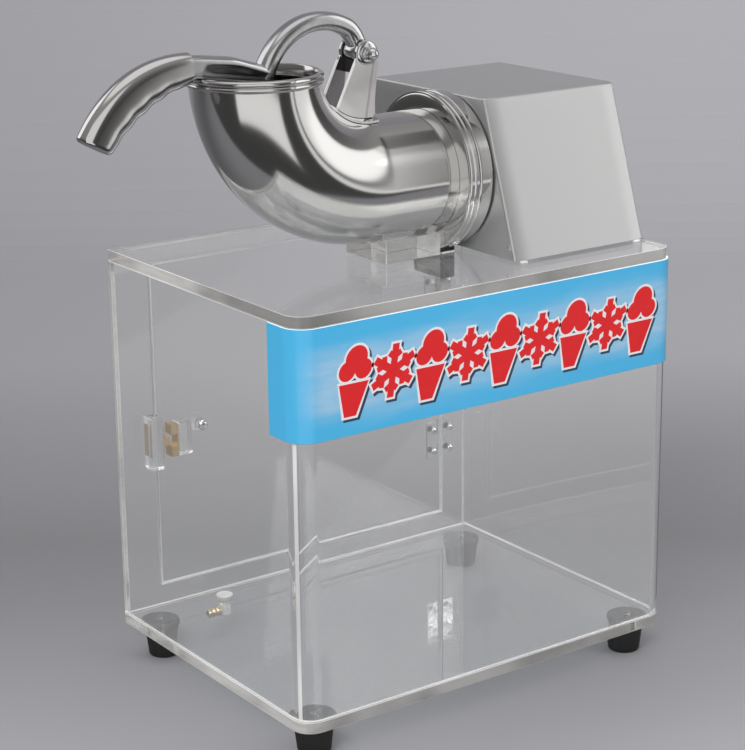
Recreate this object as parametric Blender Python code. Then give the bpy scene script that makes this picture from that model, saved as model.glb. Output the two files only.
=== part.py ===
"""Countertop shaved ice machine on a clear acrylic cabinet.

A motor head under a stainless cover turns a bladed disc in a drum. Ice goes
into the elbow shaped hopper, and a cast hand lever swings a pusher plate round
the elbow and presses the ice on the blades. Shaved ice falls through the top
plate into the cabinet, which is opened by a hinged door at its back.

Frame: metres, +Z up, +X to the right along the sign, +Y towards the back.
The origin is the centre of the base plate's underside.
"""
import math

import bmesh
import bpy
from mathutils import Matrix, Vector

# Common values
SEAT_GAP = 0.0003          # clearance between pieces that touch
ROUND = 32                 # sides of a round piece
OVERCUT = 0.004            # how far a cutter stands past what it cuts

# Acrylic cabinet
CASE_WIDTH = 0.400
CASE_DEPTH = 0.301
PLATE_THICKNESS = 0.010
PANEL_THICKNESS = 0.006
CORNER_RADIUS = 0.018
CORNER_STEPS = 8
BASE_PAD_LEFT = 0.070        # clear middle of the base plate's underside
BASE_PAD_RIGHT = 0.090
BASE_PAD_HALF_DEPTH = 0.080
BASE_LINE_WIDTH = 0.002
BASE_LINE_DEPTH = 0.001

# Sign wrapped round the front of the cabinet
SIGN_HEIGHT = 0.094
SIGN_THICKNESS = 0.0015
SIGN_RETURN = 0.040

# Door in the back panel
DOOR_WIDTH = 0.323
DOOR_HEIGHT = 0.2985
DOOR_SILL = 0.031
DOOR_CENTRE_X = 0.0035
DOOR_HEADROOM = 0.0171
DOOR_CLEARANCE = 0.001
HINGE_FROM_DOOR_END = 0.077
HINGE_HEIGHT = 0.038
LEAF_WIDTH = 0.016
LEAF_THICKNESS = 0.0015
KNUCKLE_RADIUS = 0.0025
HINGE_PIN_RADIUS = 0.0012
PIN_CLEARANCE = 0.0003
HINGE_PIN_HEAD_RADIUS = 0.0022
HINGE_PIN_HEAD_HEIGHT = 0.001

# Knob and latch
KNOB_FROM_DOOR_EDGE = 0.049
KNOB_HEIGHT = 0.1775
KNOB_RADIUS = 0.0088
KNOB_NECK_RADIUS = 0.0050
KNOB_NECK_LENGTH = 0.0040
KNOB_NECK_FLARE = 0.0010
KNOB_SINK = 0.85           # neck end to ball centre, in ball radii
KNOB_SCREW_RADIUS = 0.0018
KNOB_SCREW_DEPTH = 0.0060
KNOB_SCREW_HEAD_RADIUS = 0.0050
KNOB_SCREW_HEAD_HEIGHT = 0.0025
LATCH_HEIGHT = 0.1735
LATCH_DEPTH = 0.014
CASE_BLOCK_WIDTH = 0.0120
CASE_BLOCK_HEIGHT = 0.050
DOOR_BLOCK_WIDTH = 0.013
DOOR_BLOCK_HEIGHT = 0.031
DOOR_BLOCK_FROM_EDGE = 0.016
STRIKE_LENGTH = 0.007
STRIKE_HEIGHT = 0.008
LATCH_METAL_DEPTH = 0.011
LATCH_METAL_HEIGHT = 0.031
LATCH_FOOT = 0.0014
CATCH_LENGTH = 0.0078
CATCH_THROAT = 0.011

# Feet
FOOT_INSET = 0.026
FOOT_HEIGHT = 0.028
FOOT_TOP_RADIUS = 0.018
FOOT_BOTTOM_RADIUS = 0.014
FOOT_SHOULDER = 0.005
FOOT_RECESS_RADIUS = 0.008
FOOT_RECESS_DEPTH = 0.012
FOOT_STUD_RADIUS = 0.0025
FOOT_STUD_LENGTH = 0.006
SCREW_CLEARANCE = 0.0004

# Drain fitting at the back of the base plate
DRAIN_FROM_LEFT = 0.094
DRAIN_FROM_BACK = 0.030
DRAIN_LIP_RADIUS = 0.0078
DRAIN_LIP_HEIGHT = 0.0055
DRAIN_LIP_FLARE = 0.0022
DRAIN_CHAMFER = 0.0008
DRAIN_FLOOR = 0.002
DRAIN_BODY_RADIUS = 0.0056
DRAIN_BODY_BELOW = 0.012
DRAIN_BORE_RADIUS = 0.0036
BARB_RADIUS = 0.0042
BARB_BORE_RADIUS = 0.0022
BARB_LENGTH = 0.013
BARB_STEP = 0.0010
BARB_RINGS = 3
BARB_DROP = 0.0065

# Hopper: a bent tube whose lower leg lies along X
HOPPER_FROM_FRONT = 0.130
AXIS_ABOVE_TOP = 0.0696
TUBE_RADIUS = 0.054
TUBE_WALL = 0.0015
BEND_RADIUS = 0.1035
BEND_FROM_LEFT = 0.1534
LEG_LENGTH = 0.0677
MOUTH_BELOW_BEND_CENTRE = 0.011
BEND_STEPS = 14
RIM_HEIGHT = 0.0097
RIM_RADIUS = 0.0571
RIM_BEAD = 0.0016

# Drum that holds the blades, and the band round it
DRUM_RADIUS = 0.0672
DRUM_WALL = 0.003
DRUM_FACE = 0.0015
DRUM_LENGTH = 0.0262
DRUM_BACK = 0.004
NECK_RADIUS = 0.058
NECK_LENGTH = 0.0055
BAND_WIDTH = 0.0196
BAND_THICKNESS = 0.0013
OUTLET_FROM_FACE = 0.0082
OUTLET_LENGTH = 0.0100
OUTLET_WIDTH = 0.037
CHUTE_WALL = 0.0020
CHUTE_DROP = 0.022
CHUTE_UP_DRUM = 0.012
CRADLE_LENGTH = 0.058
CRADLE_DEPTH = 0.060
CRADLE_HEIGHT = 0.0205
CRADLE_FROM_DRUM = 0.0025

# Cutter
SHAFT_RADIUS = 0.006
CUTTER_RADIUS = 0.0625
CUTTER_THICKNESS = 0.003
CUTTER_FROM_FACE = 0.0044
BLADE_COUNT = 3
BLADE_START = 0.0135
BLADE_LENGTH = 0.044
BLADE_WIDTH = 0.012
BLADE_THICKNESS = 0.0018
SLOT_WIDTH = 0.006
SLOT_INSET = 0.002
HUB_NUT_RADIUS = 0.011
HUB_NUT_LENGTH = 0.0125
HUB_NUT_CONE = 0.004
HUB_NUT_ENGAGEMENT = 0.0085
RUNNING_CLEARANCE = 0.0004

# Motor
MOUNT_THICKNESS = 0.003
MOUNT_WIDTH = 0.110
MOUNT_ABOVE_AXIS = 0.050
MOUNT_FOOT_LENGTH = 0.055
MOTOR_RADIUS = 0.046
BELL_LENGTH = 0.0105
STATOR_LENGTH = 0.070
STATOR_BORE = 0.030
ROTOR_CLEARANCE = 0.0008
ROTOR_LENGTH = 0.064
BEARING_RADIUS = 0.0130
BEARING_LENGTH = 0.0080
FAN_RADIUS = 0.036
FAN_HUB_RADIUS = 0.012
FAN_LENGTH = 0.009
FAN_BLADES = 6
FAN_CLEARANCE = 0.004
FAN_BLADE_THICKNESS = 0.0015
FAN_BLADE_INSET = 0.0005
FAN_BLADE_ROOT = 0.002
SHAFT_TAIL = 0.003

# Cover over the motor
COVER_FROM_DRUM = 0.0012
COVER_WIDTH = 0.147
COVER_LIFT = 0.0020
COVER_HEIGHT = 0.1339
COVER_SHEET = 0.0012
COVER_FROM_FRONT = 0.034
COVER_SLOPE_RUN = 0.044
COVER_DEPTH = 0.203
COVER_HOLE_CLEARANCE = 0.0012
BUMPER_RADIUS = 0.0035
BUMPER_INSET = 0.009

# Switch and power inlet in the cover's back
SWITCH_FROM_RIGHT = 0.030
SWITCH_ABOVE_COVER_BASE = 0.075
SWITCH_WIDTH = 0.015
SWITCH_HEIGHT = 0.021
SWITCH_DEPTH = 0.014
SWITCH_BEZEL = 0.002
SWITCH_WALL = 0.0014
SWITCH_PROUD = 0.0015
ROCKER_REACH = 0.0075
ROCKER_AXIS_DEPTH = 0.001
ROCKER_PROUD = 0.0028
ROCKER_DISH = 0.0012
ROCKER_TILT = 7.0
INLET_FROM_RIGHT = 0.036
INLET_ABOVE_COVER_BASE = 0.034
INLET_WIDTH = 0.028
INLET_HEIGHT = 0.020
INLET_DEPTH = 0.018
INLET_POCKET_WIDTH = 0.0235
INLET_POCKET_HEIGHT = 0.0155
INLET_POCKET_DEPTH = 0.014
INLET_BEZEL = 0.002
INLET_PROUD = 0.002
INLET_PIN_ROOT = 0.001
INLET_EARTH_LIFT = 0.002
INLET_PIN_SPACING = 0.007
INLET_PIN_WIDTH = 0.002
INLET_PIN_HEIGHT = 0.004

# Lever and its bracket
PIVOT_FROM_BEND_CENTRE = (0.0006, 0.0058)
PIVOT_RADIUS = 0.004
LEVER_THICKNESS = 0.018
LEVER_EDGE = 0.003
HUB_RADIUS = 0.0078
ARCH_CENTRE_FROM_PIVOT = (-0.0405, -0.0278)
ARCH_OUTER_RADIUS = 0.0643
ARCH_INNER_RADIUS = 0.0489
ARCH_STEPS = 16
ARCH_OUTER_SPAN = (36.0, 153.576)
ARCH_INNER_END = 43.6
HUB_START_ANGLE = 138.0
HUB_CORNER_RADIUS = 0.0108
HUB_CORNER_ANGLE = 20.0
ARM_TOP_FROM_PIVOT = ((-0.1254, 0.0075), (-0.1573, 0.0115))
ARM_END_FROM_PIVOT = (-0.1660, 0.0117)
ARM_RIM_MARGIN = 0.001
ARM_UNDERSIDE = ((-0.1504, 0.0015), (-0.1230, 0.0060))
ARM_ROOT_DROP = 0.0087
TANG_LENGTH = 0.024
TANG_HEIGHT = 0.008
TANG_WIDTH = 0.009
TANG_ROOT = 0.006
PUSHER_SWEEP = 62.0
PUSHER_RADIUS = 0.046
PUSHER_THICKNESS = 0.004
PUSHER_EDGE = 0.001
PUSHER_REACH = 0.1089
PUSHER_SCREW_RADIUS = 0.003
PUSHER_SCREW_BITE = 0.012
PUSHER_SCREW_HEAD_RADIUS = 0.006
PUSHER_SCREW_HEAD_HEIGHT = 0.002
GRIP_BEND = (-0.0575, 0.0000)
GRIP_TIP = (-0.0863, -0.0518)
GRIP_HALF_WIDTH = 0.0105
GRIP_DEPTH_AT_ARM = 0.0240
GRIP_DEPTH_AT_TIP = 0.0300
GRIP_STEPS = 18
GRIP_SIDES = 16
GRIP_ROUNDING = 2.6
GRIP_TIP_TAPER = 0.80
GROOVE_COUNT = 4
GROOVE_DEPTH = 0.0012
GROOVE_SPAN = (0.12, 0.95)  # share of the grip's length
EAR_SPACING = 0.0210
EAR_THICKNESS = 0.0020
EAR_TOP_RADIUS = 0.0112
EAR_LEFT_ANGLE = 231.0
EAR_RIGHT_ANGLE = 276.0
EAR_TOP_SWEEP = 15.0
WEB_INSET = 1.0
WEB_THICKNESS = 0.0020
SPACER_DEPTH = 0.0060
SPACER_HEIGHT = 0.0150
SPACER_FROM_PIVOT = (-0.0075, -0.0170)
WASHER_RADIUS = 0.0100
WASHER_THICKNESS = 0.0012
BOLT_HEAD_RADIUS = 0.0065
BOLT_HEAD_LENGTH = 0.0050
PIVOT_NUT_RADIUS = 0.0060
PIVOT_NUT_LENGTH = 0.0120
PIVOT_NUT_ENGAGEMENT = 0.0080
PIVOT_NUT_FLATS = 0.0066

# Places worked out from the sizes above
DOOR_TOP = DOOR_SILL + DOOR_HEIGHT
TOP_UNDERSIDE = DOOR_TOP + DOOR_HEADROOM
TOP = TOP_UNDERSIDE + PLATE_THICKNESS
CASE_LEFT = -CASE_WIDTH / 2
CASE_FRONT = -CASE_DEPTH / 2
CASE_BACK = CASE_DEPTH / 2
DRAIN_X = CASE_LEFT + DRAIN_FROM_LEFT
DRAIN_Y = CASE_BACK - DRAIN_FROM_BACK
HOPPER_Y = CASE_FRONT + HOPPER_FROM_FRONT
BEND_CENTRE_X = CASE_LEFT + BEND_FROM_LEFT
AXIS_Z = TOP + AXIS_ABOVE_TOP
BEND_CENTRE_Z = AXIS_Z + BEND_RADIUS
MOUTH_Z = BEND_CENTRE_Z - MOUTH_BELOW_BEND_CENTRE
MOUTH_X = BEND_CENTRE_X - BEND_RADIUS
RIM_TOP = MOUTH_Z + SEAT_GAP + RIM_HEIGHT
DRUM_FACE_X = BEND_CENTRE_X + LEG_LENGTH - DRUM_FACE
PIVOT_X = BEND_CENTRE_X + PIVOT_FROM_BEND_CENTRE[0]
PIVOT_Z = BEND_CENTRE_Z + PIVOT_FROM_BEND_CENTRE[1]
ARM_END_X = PIVOT_X + ARM_END_FROM_PIVOT[0]
ARM_END_TOP = PIVOT_Z + ARM_END_FROM_PIVOT[1]
DOOR_LEFT = DOOR_CENTRE_X - DOOR_WIDTH / 2
DOOR_RIGHT = DOOR_CENTRE_X + DOOR_WIDTH / 2
PANEL_INSIDE = CASE_BACK - PANEL_THICKNESS
HINGE_X = DOOR_RIGHT + DOOR_CLEARANCE / 2
HINGE_Y = CASE_BACK + SEAT_GAP + KNUCKLE_RADIUS
COVER_BOTTOM = TOP + COVER_LIFT
COVER_TOP = COVER_BOTTOM + COVER_HEIGHT
COVER_LEFT = DRUM_FACE_X + DRUM_LENGTH + COVER_FROM_DRUM
COVER_RIGHT = COVER_LEFT + COVER_WIDTH
COVER_FRONT_BOTTOM = CASE_FRONT + COVER_FROM_FRONT
COVER_FRONT_TOP = COVER_FRONT_BOTTOM + COVER_SLOPE_RUN
COVER_BACK = COVER_FRONT_BOTTOM + COVER_DEPTH


def polished_steel():
    return {"colour": (0.72, 0.71, 0.70), "roughness": 0.12, "metallic": 1.0}


def satin_steel():
    return {"colour": (0.66, 0.66, 0.66), "roughness": 0.35, "metallic": 1.0}


def clear_acrylic():
    return {"colour": (0.90, 0.92, 0.92), "roughness": 0.03, "metallic": 0.0,
            "alpha": 0.25}


def black_rubber():
    return {"colour": (0.03, 0.03, 0.03), "roughness": 0.7, "metallic": 0.0}


def black_plastic():
    return {"colour": (0.04, 0.04, 0.045), "roughness": 0.4, "metallic": 0.0}


def polished_brass():
    return {"colour": (0.60, 0.45, 0.22), "roughness": 0.3, "metallic": 1.0}


def white_nylon():
    return {"colour": (0.85, 0.85, 0.83), "roughness": 0.5, "metallic": 0.0}


def cast_aluminium():
    return {"colour": (0.62, 0.62, 0.63), "roughness": 0.45, "metallic": 1.0}


def sign_print():
    return {"colour": (0.08, 0.45, 0.76), "roughness": 0.35, "metallic": 0.0}


def give_material(obj, finish):
    """Give the object a Principled material of its own."""
    material = bpy.data.materials.new(obj.name)
    material.use_nodes = True
    shader = material.node_tree.nodes["Principled BSDF"]
    shader.inputs["Base Color"].default_value = (*finish["colour"], 1.0)
    shader.inputs["Roughness"].default_value = finish["roughness"]
    shader.inputs["Metallic"].default_value = finish["metallic"]
    shader.inputs["Alpha"].default_value = finish.get("alpha", 1.0)
    obj.data.materials.append(material)


def add_object(name, vertices, faces):
    """Make a mesh object, with faces turned outward and round parts smooth."""
    mesh = bpy.data.meshes.new(name)
    mesh.from_pydata([tuple(v) for v in vertices], [], faces)
    builder = bmesh.new()
    builder.from_mesh(mesh)
    bmesh.ops.recalc_face_normals(builder, faces=builder.faces)
    builder.to_mesh(mesh)
    builder.free()
    mesh.shade_smooth()
    mesh.set_sharp_from_angle(angle=math.radians(35))
    obj = bpy.data.objects.new(name, mesh)
    bpy.context.scene.collection.objects.link(obj)
    return obj


def prism(name, outline, axis, start, end):
    """Extrude a 2-D outline along an axis.

    The outline is in (y, z) for axis X, in (x, z) for Y and in (x, y) for Z.
    """
    def point(pair, along):
        if axis == "X":
            return (along, pair[0], pair[1])
        if axis == "Y":
            return (pair[0], along, pair[1])
        return (pair[0], pair[1], along)

    count = len(outline)
    vertices = [point(pair, start) for pair in outline]
    vertices += [point(pair, end) for pair in outline]
    faces = [list(range(count)), list(range(count, 2 * count))[::-1]]
    for i in range(count):
        j = (i + 1) % count
        faces.append([i, j, count + j, count + i])
    return add_object(name, vertices, faces)


def box(name, low, high):
    """Make a box between two corners."""
    outline = [(low[0], low[1]), (high[0], low[1]), (high[0], high[1]), (low[0], high[1])]
    return prism(name, outline, "Z", low[2], high[2])


def turned(name, profile, centre, axis, sides=ROUND, closed=False):
    """Turn a profile of (distance along axis, radius) about an axis.

    An open profile starts and ends on the axis, and a closed one is a ring.
    """
    along = Vector(axis).normalized()
    side = Vector((0, 0, 1)) if abs(along.z) < 0.9 else Vector((1, 0, 0))
    first = (side - side.dot(along) * along).normalized()
    second = along.cross(first)
    centre = Vector(centre)
    vertices = []
    rings = []
    for distance, radius in profile:
        middle = centre + along * distance
        if radius < 1e-9:
            rings.append([len(vertices)])
            vertices.append(middle)
            continue
        indices = []
        for i in range(sides):
            angle = 2 * math.pi * i / sides
            indices.append(len(vertices))
            out = math.cos(angle) * first + math.sin(angle) * second
            vertices.append(middle + radius * out)
        rings.append(indices)
    pairs = list(zip(rings, rings[1:]))
    if closed:
        pairs.append((rings[-1], rings[0]))
    faces = []
    for one, following in pairs:
        for i in range(sides):
            j = (i + 1) % sides
            corners = [one[i % len(one)], one[j % len(one)],
                       following[j % len(following)], following[i % len(following)]]
            corners = list(dict.fromkeys(corners))
            if len(corners) > 2:
                faces.append(corners)
    return add_object(name, vertices, faces)


def rod(name, centre, axis, start, end, radius, sides=ROUND):
    """Make a solid cylinder between two distances along an axis."""
    profile = [(start, 0), (start, radius), (end, radius), (end, 0)]
    return turned(name, profile, centre, axis, sides)


def ring(name, centre, axis, start, end, inner, outer, sides=ROUND):
    """Make a ring with a square section."""
    profile = [(start, inner), (start, outer), (end, outer), (end, inner)]
    return turned(name, profile, centre, axis, sides, closed=True)


def apply_tool(obj, tool, operation):
    """Cut the object with a hidden tool, or join the tool to it."""
    tool.hide_render = True
    tool.display_type = 'WIRE'
    modifier = obj.modifiers.new(tool.name, 'BOOLEAN')
    modifier.operation = operation
    modifier.object = tool
    modifier.solver = 'EXACT'


def cut(obj, *tools):
    """Cut each tool out of the object."""
    for tool in tools:
        apply_tool(obj, tool, 'DIFFERENCE')


def join(obj, *tools):
    """Join each tool to the object."""
    for tool in tools:
        apply_tool(obj, tool, 'UNION')


def add_axis(name, place):
    """Add the empty that stands on a joint's axis."""
    empty = bpy.data.objects.new(name, None)
    empty.location = place
    empty.empty_display_size = 0.02
    bpy.context.scene.collection.objects.link(empty)
    return empty


def hang(empty, *objects):
    """Parent objects to an empty, with their own origin on it."""
    for obj in objects:
        obj.data.transform(Matrix.Translation(-empty.location))
        obj.parent = empty


def arc(centre, radius, start, end, steps):
    """Points on an arc, from one angle in degrees to another."""
    points = []
    for i in range(steps + 1):
        angle = math.radians(start + (end - start) * i / steps)
        points.append((centre[0] + radius * math.cos(angle),
                       centre[1] + radius * math.sin(angle)))
    return points


def case_path(offset):
    """The cabinet's outside from back left, round the front, to back right."""
    radius = CORNER_RADIUS + offset
    left = CASE_LEFT - offset
    front = CASE_FRONT - offset
    path = [(left, CASE_BACK)]
    path += arc((left + radius, front + radius), radius, 180, 270, CORNER_STEPS)
    path += arc((-left - radius, front + radius), radius, 270, 360, CORNER_STEPS)
    path.append((-left, CASE_BACK))
    return path


def screw_hole(name, centre, axis, start, end, radius, sides=16):
    """A round cutter that stands past the start of the hole."""
    return rod(name, centre, axis, start - OVERCUT, end, radius, sides)


def base_blank():
    """The base plate before it is drilled, with a shallow line round its middle."""
    base = prism("base_plate", case_path(0), "Z", 0, PLATE_THICKNESS)
    left, right, half = -BASE_PAD_LEFT, BASE_PAD_RIGHT, BASE_PAD_HALF_DEPTH
    line = BASE_LINE_WIDTH
    groove = prism("pad_line", [(left - line, half + line), (left - line, -half - line),
                                (right + line, -half - line), (right + line, half + line)],
                   "Z", -OVERCUT, BASE_LINE_DEPTH)
    middle = box("pad_middle", (left, -half, -2 * OVERCUT), (right, half, 2 * OVERCUT))
    cut(groove, middle)
    cut(base, groove)
    return base


def build_cabinet():
    """Base and top plates, the bent front sheet, the back panel and the sign."""
    base = base_blank()
    top = prism("top_plate", case_path(0), "Z", TOP_UNDERSIDE, TOP)
    for number, (x, y) in enumerate(foot_places(), 1):
        hole = screw_hole(f"foot_hole_{number}", (x, y, 0), (0, 0, 1), 0,
                          FOOT_STUD_LENGTH + SEAT_GAP, FOOT_STUD_RADIUS + SCREW_CLEARANCE)
        cut(base, hole)
    drain = rod("drain_hole", (DRAIN_X, DRAIN_Y, 0), (0, 0, 1), -OVERCUT,
                PLATE_THICKNESS + OVERCUT, DRAIN_BODY_RADIUS + SCREW_CLEARANCE, 24)
    cut(base, drain)
    inner, outer = chute_box()
    reach = SEAT_GAP
    hole = box("chute_hole", (outer[0][0] - reach, outer[0][1] - reach, TOP_UNDERSIDE - OVERCUT),
               (outer[1][0] + reach, outer[1][1] + reach, TOP + OVERCUT))
    cut(top, hole)

    wall = case_path(0) + case_path(-PANEL_THICKNESS)[::-1]
    wrap = prism("wrap_panel", wall, "Z", PLATE_THICKNESS + SEAT_GAP, TOP_UNDERSIDE - SEAT_GAP)
    inside = CASE_LEFT + PANEL_THICKNESS + SEAT_GAP
    back = box("back_panel", (inside, PANEL_INSIDE, PLATE_THICKNESS + SEAT_GAP),
               (-inside, CASE_BACK, TOP_UNDERSIDE - SEAT_GAP))
    gap = DOOR_CLEARANCE
    cut(back, box("door_opening", (DOOR_LEFT - gap, PANEL_INSIDE - OVERCUT, DOOR_SILL - gap),
                  (DOOR_RIGHT + gap, CASE_BACK + OVERCUT, DOOR_TOP + gap)))

    end = CASE_FRONT + SIGN_RETURN
    outside = case_path(SEAT_GAP + SIGN_THICKNESS)
    inner_face = case_path(SEAT_GAP)
    outside[0] = (outside[0][0], end)
    outside[-1] = (outside[-1][0], end)
    inner_face[0] = (inner_face[0][0], end)
    inner_face[-1] = (inner_face[-1][0], end)
    sign = prism("sign_band", outside + inner_face[::-1], "Z",
                 TOP_UNDERSIDE - SIGN_HEIGHT, TOP_UNDERSIDE - SEAT_GAP)
    for piece in (base, top, wrap, back):
        give_material(piece, clear_acrylic())
    give_material(sign, sign_print())


def foot_places():
    """The feet's centres, each the same distance in from two edges."""
    x = CASE_WIDTH / 2 - FOOT_INSET
    y = CASE_DEPTH / 2 - FOOT_INSET
    return [(-x, -y), (x, -y), (-x, y), (x, y)]


def build_feet():
    """Four tapered rubber feet, each moulded round a stud in the base plate."""
    names = ("front_left", "front_right", "rear_left", "rear_right")
    recess = -FOOT_HEIGHT + FOOT_RECESS_DEPTH
    profile = [(FOOT_STUD_LENGTH, 0), (FOOT_STUD_LENGTH, FOOT_STUD_RADIUS),
               (-SEAT_GAP, FOOT_STUD_RADIUS), (-SEAT_GAP, FOOT_TOP_RADIUS),
               (-FOOT_SHOULDER, FOOT_TOP_RADIUS), (-FOOT_HEIGHT, FOOT_BOTTOM_RADIUS),
               (-FOOT_HEIGHT, FOOT_RECESS_RADIUS), (recess, FOOT_RECESS_RADIUS), (recess, 0)]
    for name, (x, y) in zip(names, foot_places()):
        foot = turned(f"foot_{name}", profile, (x, y, 0), (0, 0, 1))
        give_material(foot, black_rubber())


def build_drain():
    """A nylon cup through the base plate, with a brass hose barb on its side."""
    lip = PLATE_THICKNESS + SEAT_GAP
    low = -DRAIN_BODY_BELOW
    floor = low + DRAIN_FLOOR
    profile = [(low, 0), (low, DRAIN_BODY_RADIUS - DRAIN_FLOOR), (floor, DRAIN_BODY_RADIUS),
               (lip, DRAIN_BODY_RADIUS), (lip, DRAIN_LIP_RADIUS - DRAIN_CHAMFER),
               (lip + DRAIN_LIP_HEIGHT, DRAIN_LIP_RADIUS),
               (lip + DRAIN_LIP_HEIGHT, DRAIN_BORE_RADIUS + DRAIN_LIP_FLARE),
               (lip, DRAIN_BORE_RADIUS), (floor, DRAIN_BORE_RADIUS), (floor, 0)]
    cup = turned("drain_cup", profile, (DRAIN_X, DRAIN_Y, 0), (0, 0, 1), 24)
    port = (DRAIN_X, DRAIN_Y, -BARB_DROP)
    cut(cup, rod("drain_port", port, (-1, 0, 0), 0, DRAIN_BODY_RADIUS + OVERCUT,
                 BARB_BORE_RADIUS + SEAT_GAP, 16))
    give_material(cup, white_nylon())
    start = DRAIN_BODY_RADIUS + SEAT_GAP
    tip = start + BARB_LENGTH
    pitch = BARB_LENGTH / BARB_RINGS
    outline = [(start, BARB_BORE_RADIUS), (start, BARB_RADIUS)]
    for i in range(BARB_RINGS):
        outline.append((start + i * pitch + 0.7 * pitch, BARB_RADIUS))
        outline.append((start + (i + 1) * pitch, BARB_RADIUS - BARB_STEP))
    outline.append((tip, BARB_BORE_RADIUS))
    barb = turned("drain_barb", outline, port, (-1, 0, 0), 24, closed=True)
    give_material(barb, polished_brass())


def hinge_knuckles(tag, centre_z, side, spans):
    """One hinge leaf: its plate, and the knuckles that wrap the pin."""
    low = centre_z - HINGE_HEIGHT / 2
    plate_start = KNUCKLE_RADIUS + 2 * SEAT_GAP
    face = CASE_BACK + SEAT_GAP
    xs = sorted((HINGE_X + side * plate_start, HINGE_X + side * LEAF_WIDTH))
    leaf = box(tag, (xs[0], face, low), (xs[1], face + LEAF_THICKNESS, low + HINGE_HEIGHT))
    bore = HINGE_PIN_RADIUS + PIN_CLEARANCE
    axis_foot = (HINGE_X, HINGE_Y, 0)
    third = HINGE_HEIGHT / 3
    for number, (start, end) in enumerate(spans, 1):
        bottom = low + start * third + SEAT_GAP / 2
        top = low + end * third - SEAT_GAP / 2
        bridge_xs = sorted((HINGE_X, HINGE_X + side * (plate_start + KNUCKLE_RADIUS)))
        bridge = box(f"{tag}_bridge_{number}", (bridge_xs[0], face, bottom),
                     (bridge_xs[1], face + LEAF_THICKNESS, top))
        barrel = rod(f"{tag}_barrel_{number}", axis_foot, (0, 0, 1), bottom, top,
                     KNUCKLE_RADIUS, 20)
        join(leaf, bridge, barrel)
    cut(leaf, rod(f"{tag}_bore", axis_foot, (0, 0, 1), low - OVERCUT,
                  low + HINGE_HEIGHT + OVERCUT, bore, 16))
    give_material(leaf, polished_steel())
    return leaf


def build_door():
    """The door, its hinges, knob and spring catch."""
    axis = add_axis("door_axis", (HINGE_X, HINGE_Y, DOOR_SILL))
    door = box("door_panel", (DOOR_LEFT, PANEL_INSIDE, DOOR_SILL),
               (DOOR_RIGHT, CASE_BACK, DOOR_TOP))
    give_material(door, clear_acrylic())
    hung = [door]
    middles = {"lower": DOOR_SILL + HINGE_FROM_DOOR_END, "upper": DOOR_TOP - HINGE_FROM_DOOR_END}
    for name, middle in middles.items():
        hinge_knuckles(f"hinge_leaf_case_{name}", middle, 1, ((0, 1), (2, 3)))
        hung.append(hinge_knuckles(f"hinge_leaf_door_{name}", middle, -1, ((1, 2),)))
        top = middle + HINGE_HEIGHT / 2 + SEAT_GAP
        shape = [(middle - HINGE_HEIGHT / 2, 0), (middle - HINGE_HEIGHT / 2, HINGE_PIN_RADIUS),
                 (top, HINGE_PIN_RADIUS), (top, HINGE_PIN_HEAD_RADIUS),
                 (top + HINGE_PIN_HEAD_HEIGHT, HINGE_PIN_HEAD_RADIUS),
                 (top + HINGE_PIN_HEAD_HEIGHT, 0)]
        pin = turned(f"hinge_pin_{name}", shape, (HINGE_X, HINGE_Y, 0), (0, 0, 1), 16)
        give_material(pin, satin_steel())

    knob_x = DOOR_LEFT + KNOB_FROM_DOOR_EDGE
    place = (knob_x, 0, KNOB_HEIGHT)
    seat = CASE_BACK + SEAT_GAP
    ball_start = seat + KNOB_NECK_LENGTH
    ball_centre = ball_start + KNOB_SINK * KNOB_RADIUS
    bore = KNOB_SCREW_RADIUS + SCREW_CLEARANCE
    profile = [(seat + KNOB_SCREW_DEPTH + SEAT_GAP, 0), (seat + KNOB_SCREW_DEPTH + SEAT_GAP, bore),
               (seat, bore), (seat, KNOB_NECK_RADIUS + KNOB_NECK_FLARE),
               (ball_start, KNOB_NECK_RADIUS - KNOB_NECK_FLARE)]
    start_angle = 0.95 * math.degrees(math.acos(-KNOB_SINK))
    for distance, radius in arc((ball_centre, 0), KNOB_RADIUS, start_angle, 0, 9):
        profile.append((distance, max(radius, 0)))
    profile[-1] = (ball_centre + KNOB_RADIUS, 0)
    knob = turned("door_knob", profile, place, (0, 1, 0), 24)
    give_material(knob, clear_acrylic())
    cut(door, rod("knob_hole", place, (0, 1, 0), PANEL_INSIDE - OVERCUT, CASE_BACK + OVERCUT,
                  bore, 16))
    head = PANEL_INSIDE - SEAT_GAP
    shape = [(head - KNOB_SCREW_HEAD_HEIGHT, 0),
             (head - KNOB_SCREW_HEAD_HEIGHT, 0.6 * KNOB_SCREW_HEAD_RADIUS),
             (head - 0.4 * KNOB_SCREW_HEAD_HEIGHT, KNOB_SCREW_HEAD_RADIUS),
             (head, KNOB_SCREW_HEAD_RADIUS), (head, KNOB_SCREW_RADIUS),
             (seat + KNOB_SCREW_DEPTH, KNOB_SCREW_RADIUS), (seat + KNOB_SCREW_DEPTH, 0)]
    screw = turned("door_knob_screw", shape, place, (0, 1, 0), 20)
    give_material(screw, polished_steel())
    hung += [knob, screw]
    hung += build_latch()
    hang(axis, *hung)


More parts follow.
